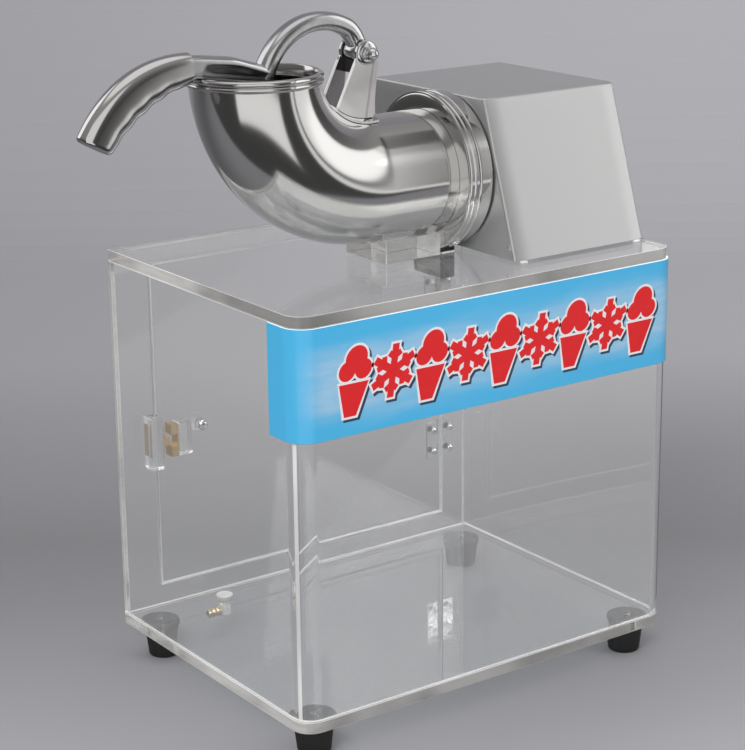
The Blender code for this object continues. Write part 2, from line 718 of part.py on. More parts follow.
def build_latch():
    """The two clear blocks inside the door's edge, and the brass catch."""
    back = PANEL_INSIDE - SEAT_GAP
    front = back - LATCH_DEPTH
    block_right = DOOR_LEFT - DOOR_CLEARANCE - SEAT_GAP
    case_block = box("latch_block_case",
                     (block_right - CASE_BLOCK_WIDTH, front, LATCH_HEIGHT - CASE_BLOCK_HEIGHT / 2),
                     (block_right, back, LATCH_HEIGHT + CASE_BLOCK_HEIGHT / 2))
    block_left = DOOR_LEFT + DOOR_BLOCK_FROM_EDGE
    door_block = box("latch_block_door",
                     (block_left, front, LATCH_HEIGHT - DOOR_BLOCK_HEIGHT / 2),
                     (block_left + DOOR_BLOCK_WIDTH, back, LATCH_HEIGHT + DOOR_BLOCK_HEIGHT / 2))
    y0 = (front + back - LATCH_METAL_DEPTH) / 2
    y1 = y0 + LATCH_METAL_DEPTH
    half = LATCH_METAL_HEIGHT / 2
    left = block_right + SEAT_GAP
    foot = left + LATCH_FOOT
    outline = [(left, -half), (foot, -half), (foot, -STRIKE_HEIGHT / 2),
               (left + STRIKE_LENGTH, -STRIKE_HEIGHT / 2), (left + STRIKE_LENGTH, STRIKE_HEIGHT / 2),
               (foot, STRIKE_HEIGHT / 2), (foot, half), (left, half)]
    strike = prism("latch_strike", [(x, LATCH_HEIGHT + z) for x, z in outline], "Y", y0, y1)
    right = block_left - SEAT_GAP
    foot = right - LATCH_FOOT
    tip = right - CATCH_LENGTH
    throat = CATCH_THROAT / 2
    outline = [(right, half), (tip, half), (tip, throat), (foot, throat), (foot, -throat),
               (tip, -throat), (tip, -half), (right, -half)]
    catch = prism("latch_catch", [(x, LATCH_HEIGHT + z) for x, z in outline], "Y", y0, y1)
    give_material(case_block, clear_acrylic())
    give_material(door_block, clear_acrylic())
    give_material(strike, polished_brass())
    give_material(catch, polished_brass())
    return [door_block, catch]


def elbow_tube(name, radius, start_extra, mouth_extra, sides):
    """A solid bent bar along the hopper's path.

    Each line along the bar ends where it meets the level mouth, so its last
    ring lies flat though the bend stops short of a quarter turn.
    """
    vertices = []
    rings = []
    leg_end = BEND_CENTRE_X + LEG_LENGTH + start_extra
    mouth = MOUTH_Z + mouth_extra
    for step in range(-1, BEND_STEPS + 1):
        indices = []
        for i in range(sides):
            angle = 2 * math.pi * i / sides
            reach = BEND_RADIUS - radius * math.cos(angle)
            y = HOPPER_Y + radius * math.sin(angle)
            indices.append(len(vertices))
            if step < 0:
                vertices.append((leg_end, y, BEND_CENTRE_Z - reach))
                continue
            last = math.acos((BEND_CENTRE_Z - mouth) / reach)
            turn = last * step / BEND_STEPS
            vertices.append((BEND_CENTRE_X - reach * math.sin(turn), y,
                             BEND_CENTRE_Z - reach * math.cos(turn)))
        rings.append(indices)
    faces = [rings[0], rings[-1]]
    for ring_a, ring_b in zip(rings, rings[1:]):
        for i in range(sides):
            j = (i + 1) % sides
            faces.append([ring_a[i], ring_a[j], ring_b[j], ring_b[i]])
    return add_object(name, vertices, faces)


def build_hopper():
    """The elbow, its beaded rim and the clear cradle under it."""
    elbow = elbow_tube("hopper_elbow", TUBE_RADIUS, 0, 0, 40)
    cut(elbow, elbow_tube("elbow_bore", TUBE_RADIUS - TUBE_WALL, OVERCUT, OVERCUT, 40))
    give_material(elbow, polished_steel())
    bore = TUBE_RADIUS - TUBE_WALL
    low = MOUTH_Z + SEAT_GAP
    waist = RIM_RADIUS - RIM_BEAD
    profile = [(low, bore), (low, waist), (low + 0.15 * RIM_HEIGHT, RIM_RADIUS),
               (low + 0.35 * RIM_HEIGHT, RIM_RADIUS), (low + 0.5 * RIM_HEIGHT, waist),
               (low + 0.65 * RIM_HEIGHT, RIM_RADIUS), (low + 0.85 * RIM_HEIGHT, RIM_RADIUS),
               (low + RIM_HEIGHT, waist), (low + RIM_HEIGHT, bore)]
    rim = turned("hopper_rim", profile, (MOUTH_X, HOPPER_Y, 0), (0, 0, 1), 40, closed=True)
    give_material(rim, polished_steel())
    right = DRUM_FACE_X - CRADLE_FROM_DRUM
    cradle = box("hopper_cradle",
                 (right - CRADLE_LENGTH, HOPPER_Y - CRADLE_DEPTH / 2, TOP + SEAT_GAP),
                 (right, HOPPER_Y + CRADLE_DEPTH / 2, TOP + CRADLE_HEIGHT))
    cut(cradle, rod("cradle_saddle", (0, HOPPER_Y, AXIS_Z), (1, 0, 0),
                    right - CRADLE_LENGTH - OVERCUT, right + OVERCUT, TUBE_RADIUS + SEAT_GAP, 48))
    give_material(cradle, clear_acrylic())


def chute_box():
    """Corners in X and Y of the chute's inside and of its outside."""
    left = DRUM_FACE_X + OUTLET_FROM_FACE
    half = OUTLET_WIDTH / 2
    inner = ((left, HOPPER_Y - half), (left + OUTLET_LENGTH, HOPPER_Y + half))
    wall = CHUTE_WALL
    outer = ((inner[0][0] - wall, inner[0][1] - wall), (inner[1][0] + wall, inner[1][1] + wall))
    return inner, outer


def build_drum():
    """The blade drum, the band round its joint with the elbow, and the chute."""
    centre = (0, HOPPER_Y, AXIS_Z)
    along = (1, 0, 0)
    start = DRUM_FACE_X
    end = start + DRUM_LENGTH
    bore = TUBE_RADIUS + SEAT_GAP
    inside = DRUM_RADIUS - DRUM_WALL
    hole = SHAFT_RADIUS + RUNNING_CLEARANCE
    neck_end = end + NECK_LENGTH
    profile = [(start, bore), (start, DRUM_RADIUS), (end, DRUM_RADIUS), (end, NECK_RADIUS),
               (neck_end, NECK_RADIUS), (neck_end, hole), (end - DRUM_BACK, hole),
               (end - DRUM_BACK, inside), (start + DRUM_FACE, inside), (start + DRUM_FACE, bore)]
    drum = turned("drum_housing", profile, centre, along, 48, closed=True)
    inner, outer = chute_box()
    low = AXIS_Z - DRUM_RADIUS
    cut(drum, box("drum_outlet", (*inner[0], low - OVERCUT), (*inner[1], AXIS_Z - 0.5 * inside)))
    give_material(drum, polished_steel())
    band = ring("band_clamp", centre, along, start, start + BAND_WIDTH,
                DRUM_RADIUS + SEAT_GAP, DRUM_RADIUS + SEAT_GAP + BAND_THICKNESS, 48)
    cut(band, box("band_outlet", (inner[0][0], outer[0][1], low - 2 * OVERCUT),
                  (inner[1][0], outer[1][1], AXIS_Z - 0.5 * inside)))
    give_material(band, polished_steel())
    bottom = TOP_UNDERSIDE - CHUTE_DROP
    up_drum = low + CHUTE_UP_DRUM
    chute = box("ice_chute", (*outer[0], bottom), (*outer[1], up_drum))
    cut(chute, box("chute_bore", (*inner[0], bottom - OVERCUT), (*inner[1], up_drum + OVERCUT)),
        rod("chute_saddle", centre, along, start - OVERCUT, end,
            DRUM_RADIUS + 2 * SEAT_GAP + BAND_THICKNESS, 48))
    give_material(chute, black_plastic())


def build_cutter(axis):
    """The bladed disc on the motor's shaft, and the nut that holds it."""
    centre = (0, HOPPER_Y, AXIS_Z)
    along = (1, 0, 0)
    face = DRUM_FACE_X + CUTTER_FROM_FACE
    bore = SHAFT_RADIUS + SEAT_GAP
    disc = ring("cutter_disc", centre, along, face, face + CUTTER_THICKNESS, bore,
                CUTTER_RADIUS, 48)
    hung = [disc]
    for number in range(BLADE_COUNT):
        turn = math.radians(90 + 360 * number / BLADE_COUNT)
        out = Vector((0, math.cos(turn), math.sin(turn)))
        across = Vector((0, -math.sin(turn), math.cos(turn)))

        def corners(first, last, low, high):
            return [out * first + across * low, out * last + across * low,
                    out * last + across * high, out * first + across * high]

        blade_end = BLADE_START + BLADE_LENGTH
        shape = corners(BLADE_START, blade_end, SEAT_GAP, BLADE_WIDTH)
        outline = [(HOPPER_Y + p.y, AXIS_Z + p.z) for p in shape]
        blade = prism(f"blade_{number + 1}", outline, "X", face - SEAT_GAP - BLADE_THICKNESS,
                      face - SEAT_GAP)
        give_material(blade, polished_steel())
        hung.append(blade)
        shape = corners(BLADE_START + SLOT_INSET, blade_end - SLOT_INSET, -SLOT_WIDTH, 0)
        outline = [(HOPPER_Y + p.y, AXIS_Z + p.z) for p in shape]
        cut(disc, prism(f"disc_slot_{number + 1}", outline, "X", face - OVERCUT,
                        face + CUTTER_THICKNESS + OVERCUT))
    give_material(disc, satin_steel())
    back = face - SEAT_GAP
    front = back - HUB_NUT_LENGTH
    depth = back - HUB_NUT_ENGAGEMENT - SEAT_GAP
    shape = [(front, 0), (front, 0.45 * HUB_NUT_RADIUS), (front + HUB_NUT_CONE, HUB_NUT_RADIUS),
             (back, HUB_NUT_RADIUS), (back, bore), (depth, bore), (depth, 0)]
    nut = turned("hub_nut", shape, centre, along, 24)
    give_material(nut, polished_steel())
    hung.append(nut)
    hang(axis, *hung)


def motor_stations():
    """Distances along X of the motor's stack, from the drum's back."""
    mount = DRUM_FACE_X + DRUM_LENGTH + NECK_LENGTH + SEAT_GAP
    front_bell = mount + MOUNT_THICKNESS + SEAT_GAP
    stator = front_bell + BELL_LENGTH + SEAT_GAP
    rear_bell = stator + STATOR_LENGTH + SEAT_GAP
    fan = rear_bell + BELL_LENGTH + FAN_CLEARANCE
    return mount, front_bell, stator, rear_bell, fan


def build_motor(axis):
    """The motor and its mount, with bearings and a cooling fan."""
    mount_x, front_bell, stator_x, rear_bell, fan_x = motor_stations()
    centre = (0, HOPPER_Y, AXIS_Z)
    along = (1, 0, 0)
    hole = SHAFT_RADIUS + RUNNING_CLEARANCE
    base = TOP + SEAT_GAP
    outline = [(mount_x, base), (mount_x + MOUNT_FOOT_LENGTH, base),
               (mount_x + MOUNT_FOOT_LENGTH, base + MOUNT_THICKNESS),
               (mount_x + MOUNT_THICKNESS, base + MOUNT_THICKNESS),
               (mount_x + MOUNT_THICKNESS, AXIS_Z + MOUNT_ABOVE_AXIS),
               (mount_x, AXIS_Z + MOUNT_ABOVE_AXIS)]
    mount = prism("motor_mount", outline, "Y", HOPPER_Y - MOUNT_WIDTH / 2,
                  HOPPER_Y + MOUNT_WIDTH / 2)
    cut(mount, rod("mount_hole", centre, along, mount_x - OVERCUT,
                   mount_x + MOUNT_THICKNESS + OVERCUT, hole, 24))
    give_material(mount, satin_steel())

    pocket = BEARING_RADIUS + SEAT_GAP
    lip = BELL_LENGTH - BEARING_LENGTH - 2 * SEAT_GAP
    for name, bell, facing in (("front", front_bell, 1), ("rear", rear_bell, -1)):
        outer_face = bell if facing > 0 else bell + BELL_LENGTH
        profile = [(0, hole), (0, 0.75 * MOTOR_RADIUS), (0.3 * BELL_LENGTH, MOTOR_RADIUS),
                   (BELL_LENGTH, MOTOR_RADIUS), (BELL_LENGTH, pocket), (lip, pocket), (lip, hole)]
        cap = turned(f"motor_{name}_bell", profile, (outer_face, HOPPER_Y, AXIS_Z),
                     (facing, 0, 0), 32, closed=True)
        give_material(cap, cast_aluminium())
        bearing = ring(f"bearing_{name}", (outer_face, HOPPER_Y, AXIS_Z), (facing, 0, 0),
                       lip + SEAT_GAP, lip + SEAT_GAP + BEARING_LENGTH,
                       SHAFT_RADIUS + SEAT_GAP, BEARING_RADIUS, 24)
        give_material(bearing, satin_steel())
    stator = ring("motor_stator", centre, along, stator_x, stator_x + STATOR_LENGTH,
                  STATOR_BORE, MOTOR_RADIUS, 32)
    give_material(stator, cast_aluminium())
    core_x = stator_x + (STATOR_LENGTH - ROTOR_LENGTH) / 2
    rotor = ring("motor_rotor", centre, along, core_x, core_x + ROTOR_LENGTH,
                 SHAFT_RADIUS + SEAT_GAP, STATOR_BORE - ROTOR_CLEARANCE, 24)
    give_material(rotor, satin_steel())
    shaft_start = DRUM_FACE_X + CUTTER_FROM_FACE - SEAT_GAP - HUB_NUT_ENGAGEMENT
    shaft = rod("motor_shaft", centre, along, shaft_start, fan_x + FAN_LENGTH + SHAFT_TAIL,
                SHAFT_RADIUS, 24)
    give_material(shaft, polished_steel())

    fan = ring("cooling_fan", centre, along, fan_x, fan_x + FAN_LENGTH,
               SHAFT_RADIUS + SEAT_GAP, FAN_HUB_RADIUS, 24)
    for number in range(FAN_BLADES):
        turn = math.radians(360 * (number + 0.5) / FAN_BLADES)
        out = Vector((0, math.cos(turn), math.sin(turn)))
        across = Vector((0, -math.sin(turn), math.cos(turn))) * FAN_BLADE_THICKNESS / 2
        inner_end = out * (FAN_HUB_RADIUS - FAN_BLADE_ROOT)
        outer_end = out * FAN_RADIUS
        shape = [inner_end - across, outer_end - across, outer_end + across, inner_end + across]
        outline = [(HOPPER_Y + p.y, AXIS_Z + p.z) for p in shape]
        join(fan, prism(f"fan_blade_{number + 1}", outline, "X", fan_x + FAN_BLADE_INSET,
                        fan_x + FAN_LENGTH - FAN_BLADE_INSET))
    give_material(fan, black_plastic())
    hang(axis, rotor, shaft, fan)


def build_cover():
    """The folded stainless cover, its back plate and the bumpers under it."""
    outline = [(COVER_FRONT_BOTTOM, COVER_BOTTOM), (COVER_BACK, COVER_BOTTOM),
               (COVER_BACK, COVER_TOP), (COVER_FRONT_TOP, COVER_TOP)]
    cover = prism("cover_shell", outline, "X", COVER_LEFT, COVER_RIGHT)
    slope = Vector((COVER_FRONT_TOP - COVER_FRONT_BOTTOM, COVER_HEIGHT)).normalized()
    step = COVER_SHEET / slope.y
    lean = slope.x / slope.y

    def front_at(height):
        return COVER_FRONT_BOTTOM + step + lean * (height - COVER_BOTTOM)

    ceiling = COVER_TOP - COVER_SHEET
    low = COVER_BOTTOM - OVERCUT
    hollow = [(front_at(low), low), (COVER_BACK + OVERCUT, low), (COVER_BACK + OVERCUT, ceiling),
              (front_at(ceiling), ceiling)]
    inside_left = COVER_LEFT + COVER_SHEET
    inside_right = COVER_RIGHT - COVER_SHEET
    cut(cover, prism("cover_hollow", hollow, "X", inside_left, inside_right),
        rod("cover_hole", (0, HOPPER_Y, AXIS_Z), (1, 0, 0), COVER_LEFT - OVERCUT,
            inside_left + OVERCUT, NECK_RADIUS + COVER_HOLE_CLEARANCE, 48))
    give_material(cover, satin_steel())

    back = box("cover_back", (inside_left + SEAT_GAP, COVER_BACK - COVER_SHEET, COVER_BOTTOM),
               (inside_right - SEAT_GAP, COVER_BACK, ceiling - SEAT_GAP))
    give_material(back, satin_steel())
    for name, x in (("left", COVER_LEFT + BUMPER_INSET), ("right", COVER_RIGHT - BUMPER_INSET)):
        bumper = rod(f"cover_bumper_{name}", (x, COVER_FRONT_BOTTOM, TOP), (0, 0, 1), SEAT_GAP,
                     COVER_LIFT - SEAT_GAP, BUMPER_RADIUS, 16)
        give_material(bumper, clear_acrylic())
    return back


def build_controls(back):
    """The rocker switch and the power inlet in the cover's back plate."""
    outside = COVER_BACK + SEAT_GAP
    switch_x = COVER_RIGHT - SWITCH_FROM_RIGHT
    switch_z = COVER_BOTTOM + SWITCH_ABOVE_COVER_BASE
    half_w = SWITCH_WIDTH / 2
    half_h = SWITCH_HEIGHT / 2
    rim = SWITCH_BEZEL

    def slab(name, x, z, half_x, half_z, y0, y1):
        return box(name, (x - half_x, y0, z - half_z), (x + half_x, y1, z + half_z))

    bezel_top = outside + SWITCH_PROUD
    body = slab("switch_housing", switch_x, switch_z, half_w, half_h,
                COVER_BACK - SWITCH_DEPTH, outside + SWITCH_PROUD / 2)
    join(body, slab("switch_bezel", switch_x, switch_z, half_w + rim, half_h + rim,
                    outside, bezel_top))
    cut(body, slab("switch_pocket", switch_x, switch_z, half_w - SWITCH_WALL,
                   half_h - SWITCH_WALL, COVER_BACK - SWITCH_DEPTH + SWITCH_WALL,
                   bezel_top + OVERCUT))
    give_material(body, black_plastic())
    cut(back, slab("switch_cutout", switch_x, switch_z, half_w + SEAT_GAP, half_h + SEAT_GAP,
                   COVER_BACK - OVERCUT, COVER_BACK + OVERCUT))

    pivot_y = bezel_top - ROCKER_AXIS_DEPTH
    swing = math.hypot(ROCKER_REACH, ROCKER_PROUD)
    edge = math.degrees(math.atan2(ROCKER_PROUD, ROCKER_REACH))
    # In (y, z) about the pivot: the dished face first, then the round back.
    local = [(ROCKER_PROUD, -ROCKER_REACH), (ROCKER_DISH, 0.0), (ROCKER_PROUD, ROCKER_REACH)]
    local += arc((0, 0), swing, 90 - edge, 270 + edge, 12)[1:-1]
    tilt = math.radians(ROCKER_TILT)
    outline = []
    for y, z in local:
        outline.append((pivot_y + y * math.cos(tilt) - z * math.sin(tilt),
                        switch_z + y * math.sin(tilt) + z * math.cos(tilt)))
    play = half_w - SWITCH_WALL - SEAT_GAP
    rocker = prism("switch_rocker", outline, "X", switch_x - play, switch_x + play)
    give_material(rocker, black_plastic())
    hang(add_axis("rocker_axis", (switch_x, pivot_y, switch_z)), rocker)

    inlet_x = COVER_RIGHT - INLET_FROM_RIGHT
    inlet_z = COVER_BOTTOM + INLET_ABOVE_COVER_BASE
    bottom = COVER_BACK - INLET_DEPTH
    inlet = slab("power_inlet", inlet_x, inlet_z, INLET_WIDTH / 2, INLET_HEIGHT / 2,
                 bottom, outside + INLET_PROUD / 2)
    join(inlet, slab("inlet_bezel", inlet_x, inlet_z, INLET_WIDTH / 2 + INLET_BEZEL,
                     INLET_HEIGHT / 2 + INLET_BEZEL, outside, outside + INLET_PROUD))
    floor = outside + INLET_PROUD - INLET_POCKET_DEPTH
    cut(inlet, slab("inlet_pocket", inlet_x, inlet_z, INLET_POCKET_WIDTH / 2,
                    INLET_POCKET_HEIGHT / 2, floor, outside + INLET_PROUD + OVERCUT))
    for number in (-1, 0, 1):
        lift = INLET_EARTH_LIFT if number == 0 else -INLET_EARTH_LIFT / 2
        join(inlet, slab(f"inlet_pin_{number + 2}", inlet_x + number * INLET_PIN_SPACING,
                         inlet_z + lift, INLET_PIN_WIDTH / 2, INLET_PIN_HEIGHT / 2,
                         floor - INLET_PIN_ROOT, outside - INLET_PROUD))
    give_material(inlet, black_plastic())
    cut(back, slab("inlet_cutout", inlet_x, inlet_z, INLET_WIDTH / 2 + SEAT_GAP,
                   INLET_HEIGHT / 2 + SEAT_GAP, COVER_BACK - OVERCUT, COVER_BACK + OVERCUT))


def polar(centre, radius, degrees):
    """The point at an angle and a radius from a centre."""
    angle = math.radians(degrees)
    return (centre[0] + radius * math.cos(angle), centre[1] + radius * math.sin(angle))


def limb_circles():
    """Radii about the pivot of the curved limb, and where they leave the arch."""
    across, drop = ARCH_CENTRE_FROM_PIVOT
    circles = []
    for arch_radius in (ARCH_OUTER_RADIUS, ARCH_INNER_RADIUS):
        reach = arch_radius - across
        circles.append((math.hypot(drop, reach), 180 + math.degrees(math.atan2(-drop, reach))))
    return circles


def lever_outline():
    """The lever's side view: arch, arm and the curved limb into the hopper."""
    pivot = (PIVOT_X, PIVOT_Z)
    arch = (PIVOT_X + ARCH_CENTRE_FROM_PIVOT[0], PIVOT_Z + ARCH_CENTRE_FROM_PIVOT[1])
    rest = RIM_TOP + SEAT_GAP
    (outer, outer_angle), (inner, inner_angle) = limb_circles()
    outline = arc(arch, ARCH_OUTER_RADIUS, *ARCH_OUTER_SPAN, ARCH_STEPS)
    outline += [(PIVOT_X + x, PIVOT_Z + z) for x, z in ARM_TOP_FROM_PIVOT]
    outline.append((ARM_END_X, ARM_END_TOP))
    outline.append((ARM_END_X, rest))
    outline.append((MOUTH_X - TUBE_RADIUS + TUBE_WALL + ARM_RIM_MARGIN, rest))
    outline += [(PIVOT_X + x, rest - drop) for x, drop in ARM_UNDERSIDE]
    root_height = rest - ARM_ROOT_DROP - arch[1]
    root_angle = 180 - math.degrees(math.asin(root_height / ARCH_OUTER_RADIUS))
    outline += arc(arch, ARCH_OUTER_RADIUS, root_angle, 180, 2)
    limb_end = 180 + PUSHER_SWEEP
    outline += arc(pivot, outer, outer_angle, limb_end, 10)[1:]
    outline += arc(pivot, inner, limb_end, inner_angle, 10)
    outline += arc(arch, ARCH_INNER_RADIUS, 180, ARCH_INNER_END, ARCH_STEPS)[1:]
    outline += arc(pivot, HUB_RADIUS, HUB_START_ANGLE, 360, 12)
    outline.append(polar(pivot, HUB_CORNER_RADIUS, HUB_CORNER_ANGLE))
    return outline


def build_lever():
    """The lever, its grip and the pusher plate it swings round the hopper."""
    axis = add_axis("lever_axis", (PIVOT_X, HOPPER_Y, PIVOT_Z))
    half = LEVER_THICKNESS / 2
    lever = prism("lever_arm", lever_outline(), "Y", HOPPER_Y - half, HOPPER_Y + half)
    soften = lever.modifiers.new("edges", 'BEVEL')
    soften.width = LEVER_EDGE
    soften.segments = 2
    soften.limit_method = 'ANGLE'
    soften.angle_limit = math.radians(60)
    soften.use_clamp_overlap = False
    tang_z = (ARM_END_TOP + RIM_TOP) / 2
    half_tang = TANG_WIDTH / 2
    tang = box("tang", (ARM_END_X - TANG_LENGTH, HOPPER_Y - half_tang, tang_z - TANG_HEIGHT / 2),
               (ARM_END_X + TANG_ROOT, HOPPER_Y + half_tang, tang_z + TANG_HEIGHT / 2))
    join(lever, tang)
    cut(lever, rod("lever_bore", (PIVOT_X, HOPPER_Y, PIVOT_Z), (0, 1, 0), -half - OVERCUT,
                   half + OVERCUT, PIVOT_RADIUS + PIN_CLEARANCE, 24))

    angle = math.radians(180 + PUSHER_SWEEP)
    tangent = Vector((-math.sin(angle), 0, math.cos(angle)))
    reach = Vector((math.cos(angle), 0, math.sin(angle)))
    (outer, _), (inner, _) = limb_circles()
    pivot = Vector((PIVOT_X, HOPPER_Y, PIVOT_Z))
    screw_foot = pivot + reach * (outer + inner) / 2
    plate_foot = pivot + reach * PUSHER_REACH
    bore = PUSHER_SCREW_RADIUS + SCREW_CLEARANCE
    cut(lever, rod("pusher_screw_hole", screw_foot, tangent, -PUSHER_SCREW_BITE - SEAT_GAP,
                   OVERCUT, bore, 16))
    give_material(lever, cast_aluminium())

    back = SEAT_GAP
    front = back + PUSHER_THICKNESS
    shape = [(back, 0), (back, PUSHER_RADIUS), (front - PUSHER_EDGE, PUSHER_RADIUS),
             (front, PUSHER_RADIUS - PUSHER_EDGE), (front, 0)]
    plate = turned("pusher_plate", shape, plate_foot, tangent, 40)
    cut(plate, rod("pusher_plate_hole", screw_foot, tangent, -OVERCUT, front + OVERCUT, bore, 16))
    give_material(plate, cast_aluminium())
    head = front + SEAT_GAP
    shape = [(-PUSHER_SCREW_BITE, 0), (-PUSHER_SCREW_BITE, PUSHER_SCREW_RADIUS),
             (head, PUSHER_SCREW_RADIUS), (head, PUSHER_SCREW_HEAD_RADIUS),
             (head + 0.5 * PUSHER_SCREW_HEAD_HEIGHT, PUSHER_SCREW_HEAD_RADIUS),
             (head + PUSHER_SCREW_HEAD_HEIGHT, 0.6 * PUSHER_SCREW_HEAD_RADIUS),
             (head + PUSHER_SCREW_HEAD_HEIGHT, 0)]
    screw = turned("pusher_screw", shape, screw_foot, tangent, 20)
    give_material(screw, polished_steel())
    grip = build_grip(tang_z)
    hang(axis, lever, grip, plate, screw)


def build_grip(tang_z):
    """The bent grip: rounded sections along a curve, with finger grooves."""
    start = Vector((ARM_END_X - SEAT_GAP, tang_z))
    bend = start + Vector(GRIP_BEND)
    tip = start + Vector(GRIP_TIP)
    vertices = []
    rings = []
    for step in range(GRIP_STEPS + 1):
        t = step / GRIP_STEPS
        middle = start * (1 - t) ** 2 + bend * 2 * t * (1 - t) + tip * t ** 2
        course = ((bend - start) * (1 - t) + (tip - bend) * t).normalized()
        normal = Vector((course.y, -course.x))
        if t < 1e-6:
            normal = Vector((0, 1))
        depth = GRIP_DEPTH_AT_ARM + (GRIP_DEPTH_AT_TIP - GRIP_DEPTH_AT_ARM) * t
        groove = 0.0
        share = (t - GROOVE_SPAN[0]) / (GROOVE_SPAN[1] - GROOVE_SPAN[0])
        if 0 < share < 1:
            groove = GROOVE_DEPTH * (1 - math.cos(2 * math.pi * GROOVE_COUNT * share))
        taper = GRIP_TIP_TAPER if step == GRIP_STEPS else 1.0
        indices = []
        for i in range(GRIP_SIDES):
            angle = 2 * math.pi * i / GRIP_SIDES
            c, s = math.cos(angle), math.sin(angle)
            up = math.copysign(abs(s) ** (2 / GRIP_ROUNDING), s)
            out = math.copysign(abs(c) ** (2 / GRIP_ROUNDING), c)
            height = taper * depth / 2 * up
            if up < 0:
                height -= groove * up * 0.5
            place = middle + normal * height
            indices.append(len(vertices))
            vertices.append((place.x, HOPPER_Y + taper * GRIP_HALF_WIDTH * out, place.y))
        rings.append(indices)
    faces = [rings[0], rings[-1]]
    for ring_a, ring_b in zip(rings, rings[1:]):
        for i in range(GRIP_SIDES):
            j = (i + 1) % GRIP_SIDES
            faces.append([ring_a[i], ring_a[j], ring_b[j], ring_b[i]])
    grip = add_object("lever_grip", vertices, faces)
    half_tang = TANG_WIDTH / 2 + SEAT_GAP
    cut(grip, box("tang_socket",
                  (ARM_END_X - TANG_LENGTH - SEAT_GAP, HOPPER_Y - half_tang,
                   tang_z - TANG_HEIGHT / 2 - SEAT_GAP),
                  (ARM_END_X + OVERCUT, HOPPER_Y + half_tang,
                   tang_z + TANG_HEIGHT / 2 + SEAT_GAP)))
    give_material(grip, polished_steel())
    return grip


def build_bracket():
    """The two ears on the elbow, the bolt through them and the spacer block."""
    bend = (BEND_CENTRE_X, BEND_CENTRE_Z)
    pivot = (PIVOT_X, PIVOT_Z)
    saddle = BEND_RADIUS - TUBE_RADIUS - SEAT_GAP
    ear = arc(bend, saddle, EAR_LEFT_ANGLE, EAR_RIGHT_ANGLE, 10)
    ear += arc(pivot, EAR_TOP_RADIUS, -EAR_TOP_SWEEP, 180 + EAR_TOP_SWEEP, 14)
    half = EAR_SPACING / 2
    bracket = prism("lever_bracket", ear, "Y", HOPPER_Y - half - EAR_THICKNESS, HOPPER_Y - half)
    far_ear = prism("far_ear", ear, "Y", HOPPER_Y + half, HOPPER_Y + half + EAR_THICKNESS)
    web_start = EAR_LEFT_ANGLE + WEB_INSET
    web_end = EAR_RIGHT_ANGLE - WEB_INSET
    web = arc(bend, saddle, web_start, web_end, 10)
    web += arc(bend, saddle - WEB_THICKNESS, web_end, web_start, 10)
    overlap = EAR_THICKNESS / 2
    web_plate = prism("bracket_web", web, "Y", HOPPER_Y - half - overlap, HOPPER_Y + half + overlap)
    join(bracket, far_ear, web_plate)
    reach = half + EAR_THICKNESS
    centre = (PIVOT_X, HOPPER_Y, PIVOT_Z)
    cut(bracket, rod("bracket_bore", centre, (0, 1, 0), -reach - OVERCUT, reach + OVERCUT,
                     PIVOT_RADIUS + SEAT_GAP, 24))
    give_material(bracket, polished_steel())

    corner_x = PIVOT_X + SPACER_FROM_PIVOT[0]
    corner_z = PIVOT_Z + SPACER_FROM_PIVOT[1]
    spacer = box("spacer_block", (corner_x, HOPPER_Y - half + SEAT_GAP, corner_z),
                 (corner_x + SPACER_DEPTH, HOPPER_Y + half - SEAT_GAP, corner_z + SPACER_HEIGHT))
    cut(spacer, rod("spacer_seat", centre, (0, 1, 0), -reach, reach, HUB_RADIUS + SEAT_GAP, 32))
    give_material(spacer, black_rubber())

    face = reach + SEAT_GAP
    washer = ring("pivot_washer", centre, (0, -1, 0), face, face + WASHER_THICKNESS,
                  PIVOT_RADIUS + SEAT_GAP, WASHER_RADIUS, 32)
    give_material(washer, polished_steel())
    seat = face + WASHER_THICKNESS + SEAT_GAP
    thread_end = seat + PIVOT_NUT_ENGAGEMENT
    shape = [(-face - BOLT_HEAD_LENGTH, 0), (-face - BOLT_HEAD_LENGTH, BOLT_HEAD_RADIUS),
             (-face, BOLT_HEAD_RADIUS), (-face, PIVOT_RADIUS), (thread_end, PIVOT_RADIUS),
             (thread_end, 0)]
    bolt = turned("pivot_bolt", shape, centre, (0, -1, 0), 24)
    give_material(bolt, polished_steel())
    bore = PIVOT_RADIUS + SEAT_GAP
    dome = seat + PIVOT_NUT_LENGTH
    shoulder = seat + PIVOT_NUT_FLATS
    shape = [(seat, bore), (seat, PIVOT_NUT_RADIUS), (shoulder, PIVOT_NUT_RADIUS)]
    for degrees in (25, 50, 75):
        turn = math.radians(degrees)
        shape.append((shoulder + (dome - shoulder) * math.sin(turn),
                      PIVOT_NUT_RADIUS * math.cos(turn)))
    shape.append((dome, 0))
    shape = [(thread_end + SEAT_GAP, 0), (thread_end + SEAT_GAP, bore)] + shape
    nut = turned("pivot_nut", shape, centre, (0, -1, 0), 24)
    give_material(nut, polished_steel())


def main():
    for obj in list(bpy.data.objects):
        bpy.data.objects.remove(obj, do_unlink=True)
    build_cabinet()
    build_feet()
    build_drain()
    build_door()
    build_hopper()
    build_drum()
    shaft_axis = add_axis("shaft_axis", (DRUM_FACE_X, HOPPER_Y, AXIS_Z))
    build_cutter(shaft_axis)
    build_motor(shaft_axis)
    back = build_cover()
    build_controls(back)
    build_bracket()
    build_lever()


main()
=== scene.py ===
"""Finished surfaces of a countertop ice shaver, and the studio it stands in.

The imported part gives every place. Each sub-assembly is a class that builds its
own detailed pieces round the part's solids and gives them their finish.
"""

import logging
import math
from dataclasses import dataclass
from enum import Enum
from typing import Any, Callable, Iterable, Sequence

import bmesh
import bpy
from mathutils import Matrix, Vector

